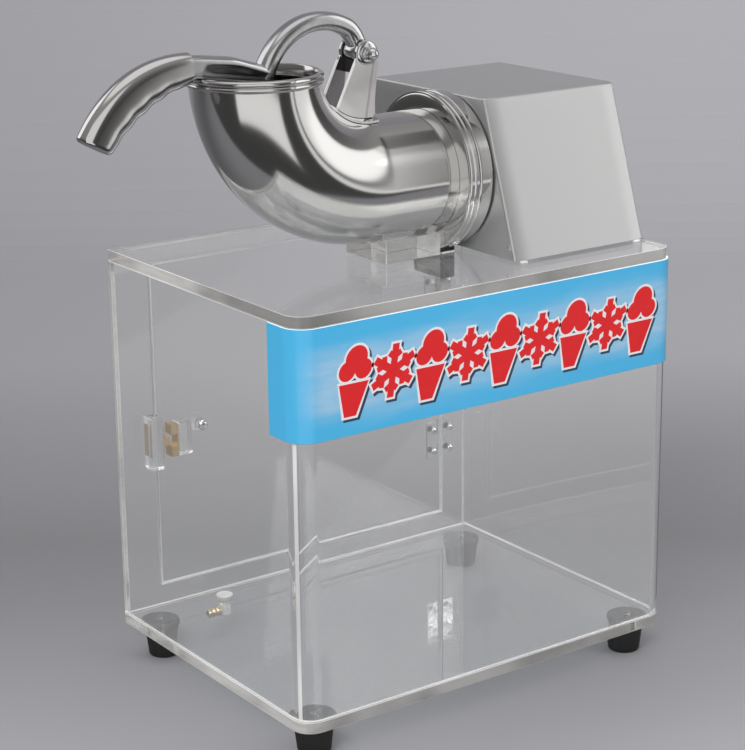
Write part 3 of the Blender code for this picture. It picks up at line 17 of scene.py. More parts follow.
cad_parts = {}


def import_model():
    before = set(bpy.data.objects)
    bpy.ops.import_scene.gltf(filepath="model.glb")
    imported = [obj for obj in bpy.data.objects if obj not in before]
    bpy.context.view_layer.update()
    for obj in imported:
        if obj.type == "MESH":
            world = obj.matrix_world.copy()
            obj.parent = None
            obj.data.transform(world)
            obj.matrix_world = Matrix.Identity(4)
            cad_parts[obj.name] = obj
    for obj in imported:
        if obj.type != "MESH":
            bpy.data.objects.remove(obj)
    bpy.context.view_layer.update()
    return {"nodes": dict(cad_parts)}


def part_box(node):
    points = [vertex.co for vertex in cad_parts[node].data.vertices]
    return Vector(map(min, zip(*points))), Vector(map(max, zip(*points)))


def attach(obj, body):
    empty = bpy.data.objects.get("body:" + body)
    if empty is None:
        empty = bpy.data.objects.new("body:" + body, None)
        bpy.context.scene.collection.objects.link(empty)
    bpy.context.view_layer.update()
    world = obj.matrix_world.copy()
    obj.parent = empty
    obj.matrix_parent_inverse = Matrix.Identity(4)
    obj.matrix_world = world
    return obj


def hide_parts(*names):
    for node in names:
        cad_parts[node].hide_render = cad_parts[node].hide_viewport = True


LOG = logging.getLogger("ice_shaver")
GAP = 0.0003            # clearance between pieces that touch, in metres
OVERCUT = 0.01          # how far a cutter stands past what it cuts
MERGED = 1e-6           # corners nearer than this are one corner
CORNERS = ("front_left", "front_right", "rear_left", "rear_right")
Point2 = tuple[float, float]
Point3 = tuple[float, float, float]
Colour = tuple[float, float, float]
Piece = bpy.types.Object
Socket = bpy.types.NodeSocket


class Body(Enum):
    """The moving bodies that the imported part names."""

    MACHINE = "machine"
    LEVER = "lever"
    DOOR = "door"
    CUTTER = "cutter"
    ROCKER = "rocker"


class Slot(Enum):
    """The record's material slots, which the finishes name."""

    ACRYLIC = "acrylic"
    SIGN = "sign"
    FOOT = "foot_rubber"
    RUBBER = "black_rubber"
    NYLON = "nylon"
    BRASS = "brass"
    BRIGHT = "bright_steel"
    POLISHED = "polished_steel"
    SATIN = "satin_steel"
    COVER = "cover_steel"
    LEVER = "lever_metal"
    PLASTIC = "black_plastic"


class Axis(Enum):
    """The directions that turned and extruded pieces run along."""

    X = (1.0, 0.0, 0.0)
    Y = (0.0, 1.0, 0.0)
    Z = (0.0, 0.0, 1.0)
    MINUS_X = (-1.0, 0.0, 0.0)
    MINUS_Y = (0.0, -1.0, 0.0)


@dataclass(frozen=True)
class Layout:
    """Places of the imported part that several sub-assemblies share, in metres."""

    hopper_y: float = -0.0205
    axis_z: float = 0.4262
    bend_x: float = -0.0466
    bend_z: float = 0.5297
    bend_radius: float = 0.1035
    tube_radius: float = 0.054
    tube_wall: float = 0.0015
    leg: float = 0.0677
    mouth_x: float = -0.1501
    mouth_z: float = 0.5187
    rim_height: float = 0.0097
    pivot_x: float = -0.0460
    pivot_z: float = 0.5355
    pivot_bore: float = 0.0043
    case_back: float = 0.1505
    panel: float = 0.006

    def pivot(self) -> Vector:
        """Return the lever's pivot."""
        return Vector((self.pivot_x, self.hopper_y, self.pivot_z))

    def rim_top(self) -> float:
        """Return the height of the hopper's rim."""
        return self.mouth_z + GAP + self.rim_height


PLACES = Layout()


def srgb(red: int, green: int, blue: int) -> Colour:
    """Turn a screen colour, 0 to 255, into the linear values that shaders take."""
    def linear(value: int) -> float:
        share = value / 255
        return share / 12.92 if share <= 0.04045 else ((share + 0.055) / 1.055) ** 2.4
    return (linear(red), linear(green), linear(blue))


class NodeBench:
    """Lays out the nodes of one tree and links them as they are added."""

    def __init__(self, tree: bpy.types.NodeTree) -> None:
        """Keep the tree that nodes go into.

        Args:
            tree: A material's, a world's or a modifier's node tree.
        """
        self.tree = tree
        self.column = 0

    def add(self, kind: str, inputs: dict[Any, Any] | None = None,
            **settings: Any) -> bpy.types.Node:
        """Add a node, set it and feed its inputs.

        Args:
            kind: The node's type name.
            inputs: Values or other nodes' outputs, by input name or number.
            **settings: Attributes of the node itself.

        Returns:
            The new node.
        """
        node = self.tree.nodes.new(kind)
        self.column += 1
        node.location = (180 * self.column, -40 * (self.column % 7))
        for name, value in settings.items():
            setattr(node, name, value)
        for key, value in (inputs or {}).items():
            self.feed(node.inputs[key], value)
        return node

    def feed(self, socket: Socket, value: Any) -> None:
        """Link an output to an input, or set the input to a plain value."""
        if isinstance(value, Socket):
            self.tree.links.new(value, socket)
        elif socket.type == 'RGBA':
            socket.default_value = (*value, 1.0)[:4]
        else:
            socket.default_value = value

    def maths(self, operation: str, *values: Any, clamp: bool = False) -> Socket:
        """Add a Math node over numbers or sockets, and return its result."""
        inputs = dict(enumerate(values))
        node = self.add("ShaderNodeMath", inputs, operation=operation, use_clamp=clamp)
        return node.outputs[0]

    def axes(self, vector: Socket) -> Any:
        """Split a vector, and return its X, Y and Z outputs."""
        return self.add("ShaderNodeSeparateXYZ", {0: vector}).outputs

    def band(self, value: Any, low: float, high: float, start: float = 0.0,
             end: float = 1.0) -> Socket:
        """Map a range smoothly onto another, and return the result."""
        inputs = {"Value": value, "From Min": low, "From Max": high,
                  "To Min": start, "To Max": end}
        node = self.add("ShaderNodeMapRange", inputs, interpolation_type='SMOOTHSTEP')
        return node.outputs["Result"]

    def window(self, value: Any, span: Point2, soft: float) -> Socket:
        """Return 1 between two values and 0 outside them, with edges of twice a softness."""
        rising = self.band(value, span[0] - soft, span[0] + soft)
        falling = self.band(value, span[1] - soft, span[1] + soft, 1.0, 0.0)
        return self.maths("MULTIPLY", rising, falling)

    def blend(self, factor: Any, first: Any, second: Any) -> Socket:
        """Mix two colours by a factor, and return the mixed colour."""
        node = self.add("ShaderNodeMix", {"Factor": factor}, data_type='RGBA')
        for name, value in (("A", first), ("B", second)):
            self.feed([s for s in node.inputs if s.name == name and s.type == 'RGBA'][0], value)
        return [s for s in node.outputs if s.type == 'RGBA'][0]

    def surface(self, inputs: dict[str, Any]) -> Socket:
        """Add a Principled shader, and return its output."""
        return self.add("ShaderNodeBsdfPrincipled", inputs).outputs[0]

    def mix(self, factor: Socket, first: Socket, second: Socket) -> Socket:
        """Mix two shaders by a factor, and return the mixed shader."""
        return self.add("ShaderNodeMixShader", {0: factor, 1: first, 2: second}).outputs[0]


def clear_bench(owner: bpy.types.Material | bpy.types.World) -> NodeBench:
    """Clear a material's or a world's nodes, and return a bench for its own ones."""
    owner.use_nodes = True
    owner.node_tree.nodes.clear()
    return NodeBench(owner.node_tree)


class PieceTree(NodeBench):
    """A Geometry Nodes tree that makes one piece from named sizes."""

    def __init__(self, name: str, sizes: dict[str, Any]) -> None:
        """Start the tree with its sockets.

        Args:
            name: The tree's name.
            sizes: Each named input and its value: a whole number, a length or a vector.
        """
        tree = bpy.data.node_groups.new(name, 'GeometryNodeTree')
        super().__init__(tree)
        self.sizes = sizes
        tree.interface.new_socket("Geometry", in_out='OUTPUT', socket_type='NodeSocketGeometry')
        for label, value in sizes.items():
            kind = {int: 'NodeSocketInt', float: 'NodeSocketFloat'}.get(
                type(value), 'NodeSocketVector')
            socket = tree.interface.new_socket(label, in_out='INPUT', socket_type=kind)
            socket.default_value = value
        self.entry = self.add("NodeGroupInput")

    def size(self, label: str) -> Socket:
        """Return a named input's socket."""
        return self.entry.outputs[label]

    def vector(self, x: Any = 0.0, y: Any = 0.0, z: Any = 0.0) -> Socket:
        """Join three numbers or sockets into a vector."""
        return self.add("ShaderNodeCombineXYZ", {0: x, 1: y, 2: z}).outputs[0]

    def make(self, name: str, geometry: Socket, material: bpy.types.Material) -> Piece:
        """Close the tree, run it and keep its result as a plain mesh.

        Args:
            name: The new piece's name.
            geometry: The finished geometry.
            material: What the piece is made of.

        Returns:
            The new piece, without a modifier.
        """
        real = self.add("GeometryNodeRealizeInstances", {"Geometry": geometry})
        dressed = self.add("GeometryNodeSetMaterial",
                           {"Geometry": real.outputs[0], "Material": material})
        self.add("NodeGroupOutput", {0: dressed.outputs[0]})
        obj = bpy.data.objects.new(name, bpy.data.meshes.new(name))
        bpy.context.scene.collection.objects.link(obj)
        modifier = obj.modifiers.new(name, 'NODES')
        modifier.node_group = self.tree
        for item in self.tree.interface.items_tree:
            if item.in_out == 'INPUT' and item.name in self.sizes:
                modifier[item.identifier] = self.sizes[item.name]
        return bake(obj)


def mesh_object(name: str, vertices: Iterable[Sequence[float]],
                faces: Iterable[Sequence[int]]) -> Piece:
    """Make a linked mesh object, at the origin, from corners and corner numbers."""
    mesh = bpy.data.meshes.new(name)
    mesh.from_pydata([tuple(v) for v in vertices], [], [tuple(f) for f in faces])
    mesh.validate()
    obj = bpy.data.objects.new(name, mesh)
    bpy.context.scene.collection.objects.link(obj)
    return obj


def bake(obj: Piece) -> Piece:
    """Turn a piece with modifiers into a plain mesh."""
    bpy.context.view_layer.update()
    graph = bpy.context.evaluated_depsgraph_get()
    mesh = bpy.data.meshes.new_from_object(obj.evaluated_get(graph))
    old = obj.data
    obj.modifiers.clear()
    obj.data = mesh
    mesh.name = obj.name
    bpy.data.meshes.remove(old)
    return obj


def drop(obj: Piece) -> None:
    """Take a helper out of the scene."""
    mesh = obj.data
    bpy.data.objects.remove(obj, do_unlink=True)
    bpy.data.meshes.remove(mesh)


def reshape(obj: Piece, work: Callable[[bmesh.types.BMesh], Any]) -> Piece:
    """Run a piece of mesh work on an object's mesh."""
    shape = bmesh.new()
    shape.from_mesh(obj.data)
    work(shape)
    shape.to_mesh(obj.data)
    shape.free()
    obj.data.update()
    return obj


def outward(obj: Piece) -> Piece:
    """Merge doubles and point every face of a closed shape outwards."""
    def work(shape: bmesh.types.BMesh) -> None:
        bmesh.ops.remove_doubles(shape, verts=shape.verts, dist=MERGED)
        bmesh.ops.recalc_face_normals(shape, faces=shape.faces)
    return reshape(obj, work)


def turn_over(obj: Piece) -> Piece:
    """Turn every face of an open shape to its other side."""
    return reshape(obj, lambda shape: bmesh.ops.reverse_faces(shape, faces=shape.faces))


def smooth(obj: Piece, degrees: float = 35.0) -> Piece:
    """Shade a piece smooth, with its sharp edges kept."""
    obj.data.shade_smooth()
    obj.data.set_sharp_from_angle(angle=math.radians(degrees))
    return obj


def soften(obj: Piece, width: float, segments: int = 2, degrees: float = 32.0) -> Piece:
    """Round the edges of a piece that are sharper than an angle, and shade it.

    Args:
        obj: The piece.
        width: How wide the rounded edge is.
        segments: Facets across the rounded edge.
        degrees: Edges that turn less than this stay as they are.

    Returns:
        The piece, as a plain mesh.
    """
    obj.data.shade_smooth()
    edges = obj.modifiers.new("edges", 'BEVEL')
    edges.width = width
    edges.segments = segments
    edges.limit_method = 'ANGLE'
    edges.angle_limit = math.radians(degrees)
    edges.harden_normals = True
    return bake(obj)


def thicken(obj: Piece, wall: float) -> Piece:
    """Give an open shell its wall, on the inner side of its faces."""
    sheet = obj.modifiers.new("wall", 'SOLIDIFY')
    sheet.thickness = wall
    sheet.offset = -1.0
    return bake(obj)


def combine(obj: Piece, tool: Piece, operation: str = 'DIFFERENCE') -> Piece:
    """Cut a tool out of a piece, or join it on, and drop the tool."""
    step = obj.modifiers.new("tool", 'BOOLEAN')
    step.object = tool
    step.operation = operation
    step.solver = 'EXACT'
    bake(obj)
    drop(tool)
    return obj


def loft(name: str, rings: Sequence[Sequence[Vector]], looped: bool = False,
         capped: bool = True) -> Piece:
    """Join rings of points into one skin.

    Args:
        name: The piece's name.
        rings: Rings with the same number of points each.
        looped: Whether the last ring joins the first.
        capped: Whether the two open ends are closed with a fan.

    Returns:
        The piece, with its faces pointing outwards.
    """
    count = len(rings[0])
    vertices = [point for ring in rings for point in ring]
    faces = []
    steps = len(rings) if looped else len(rings) - 1
    for row in range(steps):
        here, there = row * count, ((row + 1) % len(rings)) * count
        for i in range(count):
            j = (i + 1) % count
            faces.append((here + i, here + j, there + j, there + i))
    if capped and not looped:
        for ring, start in ((rings[0], 0), (rings[-1], (len(rings) - 1) * count)):
            centre = sum((Vector(p) for p in ring), Vector()) / count
            vertices.append(centre)
            middle = len(vertices) - 1
            faces += [(start + i, start + (i + 1) % count, middle) for i in range(count)]
    return outward(mesh_object(name, vertices, faces))


def lathe(name: str, profile: Sequence[Point2], centre: Sequence[float], axis: Axis | Vector,
          sides: int = 64, closed: bool = False) -> Piece:
    """Turn a profile about an axis.

    Args:
        name: The piece's name.
        profile: Pairs of distance along the axis and radius.
        centre: A point of the axis, from which the distances count.
        axis: The axis's direction.
        sides: Facets round the piece.
        closed: Whether the profile is a loop clear of the axis. If not, it
            starts and ends on the axis.

    Returns:
        The piece.
    """
    along = Vector(axis.value if isinstance(axis, Axis) else axis).normalized()
    side = Vector(Axis.Z.value) if abs(along.z) < 0.9 else Vector(Axis.X.value)
    first = (side - side.dot(along) * along).normalized()
    second = along.cross(first)
    rings = []
    for distance, radius in profile:
        ring = []
        for i in range(sides):
            angle = math.tau * i / sides
            reach = first * math.cos(angle) + second * math.sin(angle)
            ring.append(Vector(centre) + along * distance + reach * radius)
        rings.append(ring)
    return loft(name, rings, looped=closed, capped=False)


def rod(start: float, end: float, radius: float) -> list[Point2]:
    """Return the profile of a plain rod between two places along its axis."""
    return [(start, 0.0), (start, radius), (end, radius), (end, 0.0)]


def drill(piece: Piece, centre: Sequence[float], axis: Axis | Vector, span: Point2,
          radius: float, sides: int) -> Piece:
    """Drill a round hole into a piece.

    Args:
        piece: The piece.
        centre: A point of the hole's axis.
        axis: The hole's direction.
        span: Where the hole starts and ends along its axis, from the centre.
        radius: The hole's radius.
        sides: Facets round the hole.

    Returns:
        The drilled piece.
    """
    return combine(piece, lathe("drill", rod(*span, radius), centre, axis, sides))


def prism(name: str, outline: Sequence[Point2], axis: Axis, start: float, end: float) -> Piece:
    """Extrude an outline along X, Y or Z.

    Args:
        name: The piece's name.
        outline: Pairs in (y, z) for X, (x, z) for Y and (x, y) for Z.
        axis: The direction.
        start: Where the piece starts along it.
        end: Where it ends.

    Returns:
        The piece.
    """
    place = axis.value.index(1.0)

    def point(pair: Point2, along: float) -> Sequence[float]:
        return (*pair[:place], along, *pair[place:])
    count = len(outline)
    vertices = [point(p, start) for p in outline] + [point(p, end) for p in outline]
    faces = [tuple(range(count)), tuple(range(count, 2 * count))]
    faces += [(i, (i + 1) % count, count + (i + 1) % count, count + i) for i in range(count)]
    return outward(mesh_object(name, vertices, faces))


def block(name: str, low: Sequence[float], high: Sequence[float]) -> Piece:
    """Make a plain box between two corners, to be softened or used as a tool."""
    outline = [(low[0], low[1]), (high[0], low[1]), (high[0], high[1]), (low[0], high[1])]
    return prism(name, outline, Axis.Z, low[2], high[2])


def polar(degrees: float, radius: float = 1.0, centre: Point2 = (0.0, 0.0)) -> Point2:
    """Return the point of a circle at an angle in degrees."""
    turn = math.radians(degrees)
    return (centre[0] + radius * math.cos(turn), centre[1] + radius * math.sin(turn))


def arc(centre: Point2, radius: float, start: float, end: float, steps: int) -> list[Point2]:
    """Return points of an arc, with its angles in degrees."""
    return [polar(start + (end - start) * i / steps, radius, centre) for i in range(steps + 1)]


def upright(degrees: float) -> Vector:
    """Return the direction at an angle, in degrees, in the plane of X and Z."""
    across, up = polar(degrees)
    return Vector((across, 0.0, up))


def ease(share: float) -> float:
    """Return a share from 0 to 1 with a soft start and end."""
    share = max(0.0, min(1.0, share))
    return share * share * (3 - 2 * share)


def straight_path(points: Sequence[Point2], value: float,
                  pace: Callable[[float], float] = float) -> float:
    """Read a line through points at a place along it.

    Args:
        points: Pairs of place and height, in order.
        value: The place.
        pace: How the height changes over the share between two points.

    Returns:
        The height.
    """
    if value <= points[0][0]:
        return points[0][1]
    for (x0, y0), (x1, y1) in zip(points, points[1:]):
        if value <= x1:
            return y0 + (y1 - y0) * pace((value - x0) / (x1 - x0))
    return points[-1][1]


def rounded_path(points: Sequence[Point2], value: float) -> float:
    """Read a line through points with its corners rounded by averaging near a place."""
    reach, shares = 0.004, (-1.0, -0.5, 0.0, 0.5, 1.0)
    return sum(straight_path(points, value + reach * share) for share in shares) / len(shares)


def bulge(value: float, power: float) -> float:
    """Push a sine or cosine outwards, from an ellipse's at 2 to a rectangle's."""
    return math.copysign(abs(value) ** (2 / power), value)


def super_ring(centre: Vector, out: Vector, half_out: float, across: Vector, half_across: float,
               power: float, sides: int) -> list[Vector]:
    """Return a ring between an ellipse and a rectangle.

    Args:
        centre: The middle of the ring.
        out: One direction of its plane.
        half_out: Half its size that way.
        across: The other direction.
        half_across: Half its size that way.
        power: 2 gives an ellipse, and more gives a squarer ring.
        sides: Number of points.

    Returns:
        The ring's points.
    """
    ring = []
    for i in range(sides):
        c, s = polar(360.0 * i / sides)
        ring.append(centre + out * (bulge(c, power) * half_out)
                    + across * (bulge(s, power) * half_across))
    return ring


def node_copy(node: str, name: str) -> Piece:
    """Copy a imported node's solid into a new piece, with flat faces joined."""
    source = bpy.data.objects[node].data
    copy = mesh_object(name, [v.co for v in source.vertices],
                       [p.vertices for p in source.polygons])

    def work(shape: bmesh.types.BMesh) -> None:
        bmesh.ops.remove_doubles(shape, verts=shape.verts, dist=MERGED)
        bmesh.ops.dissolve_limit(shape, angle_limit=math.radians(0.6), verts=shape.verts,
                                 edges=shape.edges)
        bmesh.ops.recalc_face_normals(shape, faces=shape.faces)
    return reshape(copy, work)


def middle_of(node: str) -> Point3:
    """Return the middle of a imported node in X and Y, at Z zero."""
    low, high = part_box(node)
    return ((low.x + high.x) / 2, (low.y + high.y) / 2, 0.0)


@dataclass(frozen=True)
class SurfaceFinish:
    """What every finish has: a name, a slot in the record, a colour and a gloss."""

    name: str
    slot: Slot
    colour: Colour
    roughness: float

    def material(self) -> bpy.types.Material:
        """Return this finish's material, made the first time it is asked for."""
        found = bpy.data.materials.get(self.name)
        if found is not None:
            return found
        made = bpy.data.materials.new(self.name)
        made.diffuse_color = (*self.colour, 1.0)
        bench = clear_bench(made)
        bench.add("ShaderNodeOutputMaterial", {"Surface": self.shader(bench)})
        return made

    def darker(self, share: float) -> Colour:
        """Return the finish's colour with a share of its light taken away."""
        return tuple(c * (1.0 - share) for c in self.colour)

    def place(self, bench: NodeBench) -> Socket:
        """Return the piece's own coordinates, in metres."""
        return bench.add("ShaderNodeTexCoord").outputs["Object"]

    def facing(self, bench: NodeBench, axis: str) -> Socket:
        """Return how far the surface faces along an axis, towards its plus end."""
        return bench.axes(bench.add("ShaderNodeNewGeometry").outputs["Normal"])[axis]

    def noise(self, bench: NodeBench, scale: float, detail: float = 2.0,
              stretch: Point3 = (1.0, 1.0, 1.0)) -> Socket:
        """Return a noise value over the piece.

        Args:
            bench: Where the nodes go.
            scale: Cells per metre.
            detail: How many finer layers are laid over it.
            stretch: Scale along each axis, to draw the grain out.

        Returns:
            The noise, from 0 to 1.
        """
        spread = bench.add("ShaderNodeMapping", {"Vector": self.place(bench), "Scale": stretch})
        inputs = {"Vector": spread.outputs[0], "Scale": scale, "Detail": detail}
        return bench.add("ShaderNodeTexNoise", inputs).outputs[0]

    def bump(self, bench: NodeBench, height: Any, distance: float, under: Any = None) -> Socket:
        """Return a normal bent by a height, over another normal if there is one."""
        inputs = {"Height": height, "Distance": distance}
        if under is not None:
            inputs["Normal"] = under
        return bench.add("ShaderNodeBump", inputs).outputs[0]

    def shader(self, bench: NodeBench) -> Socket:
        """Build the finish's shader and return its output."""
        return bench.surface({"Base Color": self.colour, "Roughness": self.roughness})


@dataclass(frozen=True)
class MetalFinish(SurfaceFinish):
    """Bare metal: smudges in its gloss, a grain, and a hand polished waviness."""

    smudge: float = 0.05
    wave: float = 0.00012
    wave_scale: float = 14.0
    grain: float = 0.000004
    grain_scale: float = 900.0
    stretch: Point3 = (1.0, 1.0, 1.0)
    tarnish: float = 0.12

    def relief(self, bench: NodeBench) -> Socket:
        """Return the normal of the waviness with the grain over it."""
        wave = self.bump(bench, self.noise(bench, self.wave_scale, 1.0), self.wave)
        lines = self.noise(bench, self.grain_scale, 2.0, self.stretch)
        return self.bump(bench, lines, self.grain, under=wave)

    def smudged(self, bench: NodeBench, cloud: Socket) -> Socket:
        """Return the gloss, duller where a cloudy pattern is high."""
        return bench.band(cloud, 0.30, 0.75, self.roughness, self.roughness + self.smudge)

    def shader(self, bench: NodeBench) -> Socket:
        """Build the metal's shader."""
        cloud = self.noise(bench, 26.0, 4.0)
        tint = bench.blend(bench.band(cloud, 0.25, 0.8), self.colour, self.darker(self.tarnish))
        return bench.surface({"Base Color": tint, "Metallic": 1.0,
                              "Roughness": self.smudged(bench, cloud),
                              "Normal": self.relief(bench)})


@dataclass(frozen=True)
class AcrylicFinish(SurfaceFinish):
    """Clear cast acrylic, which lets its shadow be light."""

    clarity: float = 1.0
    smear: float = 0.03
    streak: float = 0.0
    # glow is emission strength: painted light that makes the acrylic glow.
    glow: float = 0.0
    patch: float = 0.0
    # Painted shade: how much darker the sawn faces that face front or back are.
    painted_front_shade: float = 0.34
    shade: Colour = (0.93, 0.94, 0.94)

    def shader(self, bench: NodeBench) -> Socket:
        """Build the acrylic's shader, streaked and patchy where it is sawn, with painted shade on
        sawn faces that face front or back, and a painted glow.
        """
        cloud = self.noise(bench, 9.0, 3.0)
        gloss = bench.band(cloud, 0.35, 0.8, self.roughness, self.roughness + self.smear)
        tint: Any = self.colour
        clarity: Any = self.clarity
        if self.streak:
            lines = self.noise(bench, 22.0, 3.0, (1.0, 1.0, 9.0))
            tint = bench.blend(bench.band(lines, 0.35, 0.7), tint, self.darker(self.streak))
        if self.patch:
            clarity = bench.band(self.noise(bench, 8.0, 2.0), 0.38, 0.62,
                                 self.clarity - self.patch, self.clarity + self.patch)
            # Painted shade: faces that face front or back take a darker tint.
            front = bench.band(bench.maths("ABSOLUTE", self.facing(bench, "Y")), 0.6, 0.9)
            tint = bench.blend(front, tint, self.darker(self.painted_front_shade))
        # The emission is painted light.
        clear = bench.surface({"Base Color": tint, "Roughness": gloss, "IOR": 1.49,
                               "Transmission Weight": clarity, "Emission Color": tint,
                               "Emission Strength": self.glow})
        path = bench.add("ShaderNodeLightPath").outputs
        light = bench.maths("MAXIMUM", path["Is Shadow Ray"], path["Is Diffuse Ray"])
        through = bench.add("ShaderNodeBsdfTransparent", {"Color": self.shade}).outputs[0]
        return bench.mix(light, clear, through)


@dataclass(frozen=True)
class MouldedFinish(SurfaceFinish):
    """Moulded plastic, rubber or ink, with a fine skin and a little wear."""

    skin: float = 0.00003
    skin_scale: float = 1400.0
    wear: float = 0.25
    dulling: float = 0.12

    def shader(self, bench: NodeBench) -> Socket:
        """Build the plastic's shader."""
        cloud = self.noise(bench, 60.0, 4.0)
        tint: Any = self.colour
        if self.wear:
            pale = tuple(min(1.0, c * (1.0 + self.wear) + 0.01 * self.wear) for c in self.colour)
            tint = bench.blend(bench.band(cloud, 0.35, 0.8), self.colour, pale)
        gloss = bench.band(cloud, 0.3, 0.8, self.roughness, self.roughness + self.dulling)
        inputs = {"Base Color": tint, "Roughness": gloss}
        if self.skin:
            inputs["Normal"] = self.bump(bench, self.noise(bench, self.skin_scale, 2.0), self.skin)
        return bench.surface(inputs)


@dataclass(frozen=True)
class SignFinish(SurfaceFinish):
    """The sign's print: blue, with a pale frosty glow drawn out along its middle."""

    glow: Colour = srgb(176, 214, 240)
    middle_x: float = 0.006
    middle_z: float = 0.2985
    reach: float = 0.176
    fade: float = 0.035
    height: float = 0.026
    sway: float = 0.030
    front: Point2 = (-0.149, -0.134)

    def shader(self, bench: NodeBench) -> Socket:
        """Build the print's shader."""
        axes = bench.axes(self.place(bench))
        drift = self.noise(bench, 10.0, 4.0, (1.0, 1.0, 4.0))
        sway = bench.maths("MULTIPLY_ADD", drift, self.sway, -self.sway / 2)
        up = bench.maths("ABSOLUTE", bench.maths(
            "SUBTRACT", bench.maths("ADD", axes["Z"], sway), self.middle_z))
        along = bench.maths("ABSOLUTE", bench.maths("SUBTRACT", axes["X"], self.middle_x))
        ends = bench.band(along, self.reach, self.reach + self.fade, 1.0, 0.0)
        core = bench.band(up, 0.5 * self.height, 1.55 * self.height, 1.0, 0.0)
        front = bench.band(axes["Y"], *self.front, 1.0, 0.0)
        mask = bench.maths("MULTIPLY", bench.maths("MULTIPLY", ends, core), front)
        wisps = bench.band(self.noise(bench, 26.0, 5.0, (1.0, 1.0, 7.0)), 0.3, 0.75, 0.62, 1.0)
        tint = bench.blend(bench.maths("MULTIPLY", mask, wisps), self.colour, self.glow)
        return bench.surface({"Base Color": tint, "Roughness": self.roughness,
                              "Coat Weight": 0.3, "Coat Roughness": 0.12})


@dataclass(frozen=True)
class CoverFinish(MetalFinish):
    """The cover's sheet, with painted shade on its sides and the top of its front, and painted
    highlights near its bends.
    """

    # Painted shade: the front and top darken with height, between low and high, by the share fade,
    # with a cloudy drift in where it starts.
    low: float = 0.37
    high: float = 0.50
    fade: float = 0.26
    drift: float = 0.06
    # Painted shade: the darker colour of the faces that face the sides; side_gloss changes their
    # gloss.
    side: Colour = (0.55, 0.54, 0.53)
    side_gloss: float = -0.09
    # Painted highlight: the colour of the pale strips near the front's two bends, and how far off
    # the middle they start and reach full strength.
    bend: Colour = (0.96, 0.96, 0.965)
    middle: float = 0.1205
    painted_highlight_start: float = 0.0590
    painted_highlight_full: float = 0.0650

    def shader(self, bench: NodeBench) -> Socket:
        """Build the sheet's shader."""
        axes = bench.axes(self.place(bench))
        cloud = self.noise(bench, 16.0, 3.0)
        drift = bench.maths("MULTIPLY_ADD", cloud, self.drift, -self.drift / 2)
        # Painted shade, darker with height.
        painted_shade = bench.band(bench.maths("ADD", axes["Z"], drift), self.low, self.high)
        tint = bench.blend(painted_shade, self.colour, self.darker(self.fade))
        # Painted shade on the faces that face the sides.
        side = bench.band(bench.maths("ABSOLUTE", self.facing(bench, "X")), 0.7, 0.9)
        tint = bench.blend(side, tint, self.side)
        gloss = bench.maths("MULTIPLY_ADD", side, self.side_gloss, self.smudged(bench, cloud))
        # Painted highlight: pale strips near both bends of the front face.
        reach = bench.maths("ABSOLUTE", bench.maths("SUBTRACT", axes["X"], self.middle))
        strip = bench.maths("MULTIPLY", bench.band(reach, self.painted_highlight_start, self.painted_highlight_full),
                            bench.band(self.facing(bench, "Y"), -0.9, -0.8, 1.0, 0.0))
        tint = bench.blend(strip, tint, self.bend)
        return bench.surface({"Base Color": tint, "Metallic": 1.0, "Roughness": gloss,
                              "Normal": self.relief(bench)})


POLISHED = MetalFinish("polished_steel", Slot.POLISHED, (0.72, 0.71, 0.70), 0.012, smudge=0.04,
                       wave=0.00010, grain=0.0000006)
BRIGHT = MetalFinish("bright_steel", Slot.BRIGHT, (0.80, 0.79, 0.78), 0.08, wave=0.00002)
COVER = CoverFinish("cover_steel", Slot.COVER, (0.84, 0.84, 0.845), 0.15, wave=0.00004,
                    grain=0.000006, grain_scale=260.0, stretch=(1.0, 1.0, 14.0))
SATIN = MetalFinish("satin_steel", Slot.SATIN, (0.60, 0.60, 0.60), 0.30, smudge=0.1)
CASTING = MetalFinish("polished_casting", Slot.LEVER, (0.70, 0.70, 0.705), 0.16, smudge=0.08,
                      wave=0.00016, wave_scale=40.0)
BRACKET = MetalFinish("bracket_steel", Slot.POLISHED, (0.66, 0.65, 0.645), 0.10, smudge=0.08)
ROUGH_CAST = MetalFinish("rough_casting", Slot.SATIN, (0.55, 0.55, 0.56), 0.45, grain=0.00008,
                         grain_scale=500.0)
BRASS = MetalFinish("dull_brass", Slot.BRASS, (0.78, 0.58, 0.33), 0.28, tarnish=0.3)
# Painted light: the clear acrylic glows faintly, to brighten what is seen through it.
ACRYLIC = AcrylicFinish("clear_acrylic", Slot.ACRYLIC, (0.985, 0.99, 0.988), 0.0, glow=0.020)
# The sawn edges glow with painted light, and take painted shade where they face front or back.
EDGE = AcrylicFinish("acrylic_edge", Slot.ACRYLIC, (0.80, 0.78, 0.745), 0.20, clarity=0.58,
                     streak=0.16, glow=0.09, patch=0.28)
# Painted highlight: a pale, glowing acrylic for the bright lines on rounded corners and on the
# front sheet's bend.
ACRYLIC_HIGHLIGHT = AcrylicFinish("acrylic_edge_line", Slot.ACRYLIC, (0.90, 0.885, 0.86), 0.30,
                          clarity=0.35, glow=0.06, patch=0.2)
RUBBER = MouldedFinish("black_rubber", Slot.RUBBER, (0.012, 0.012, 0.013), 0.55)
PLASTIC = MouldedFinish("black_plastic", Slot.PLASTIC, (0.02, 0.02, 0.022), 0.38)
NYLON = MouldedFinish("white_nylon", Slot.NYLON, (0.72, 0.71, 0.69), 0.40, wear=0.05)
SIGN_BLUE = SignFinish("sign_print", Slot.SIGN, srgb(80, 192, 242), 0.30)
SIGN_RED = MouldedFinish("sign_red", Slot.SIGN, srgb(234, 34, 38), 0.30, wear=0.05, skin=0.0)
SIGN_WHITE = MouldedFinish("sign_white", Slot.SIGN, (0.93, 0.92, 0.94), 0.30, wear=0.0, skin=0.0)
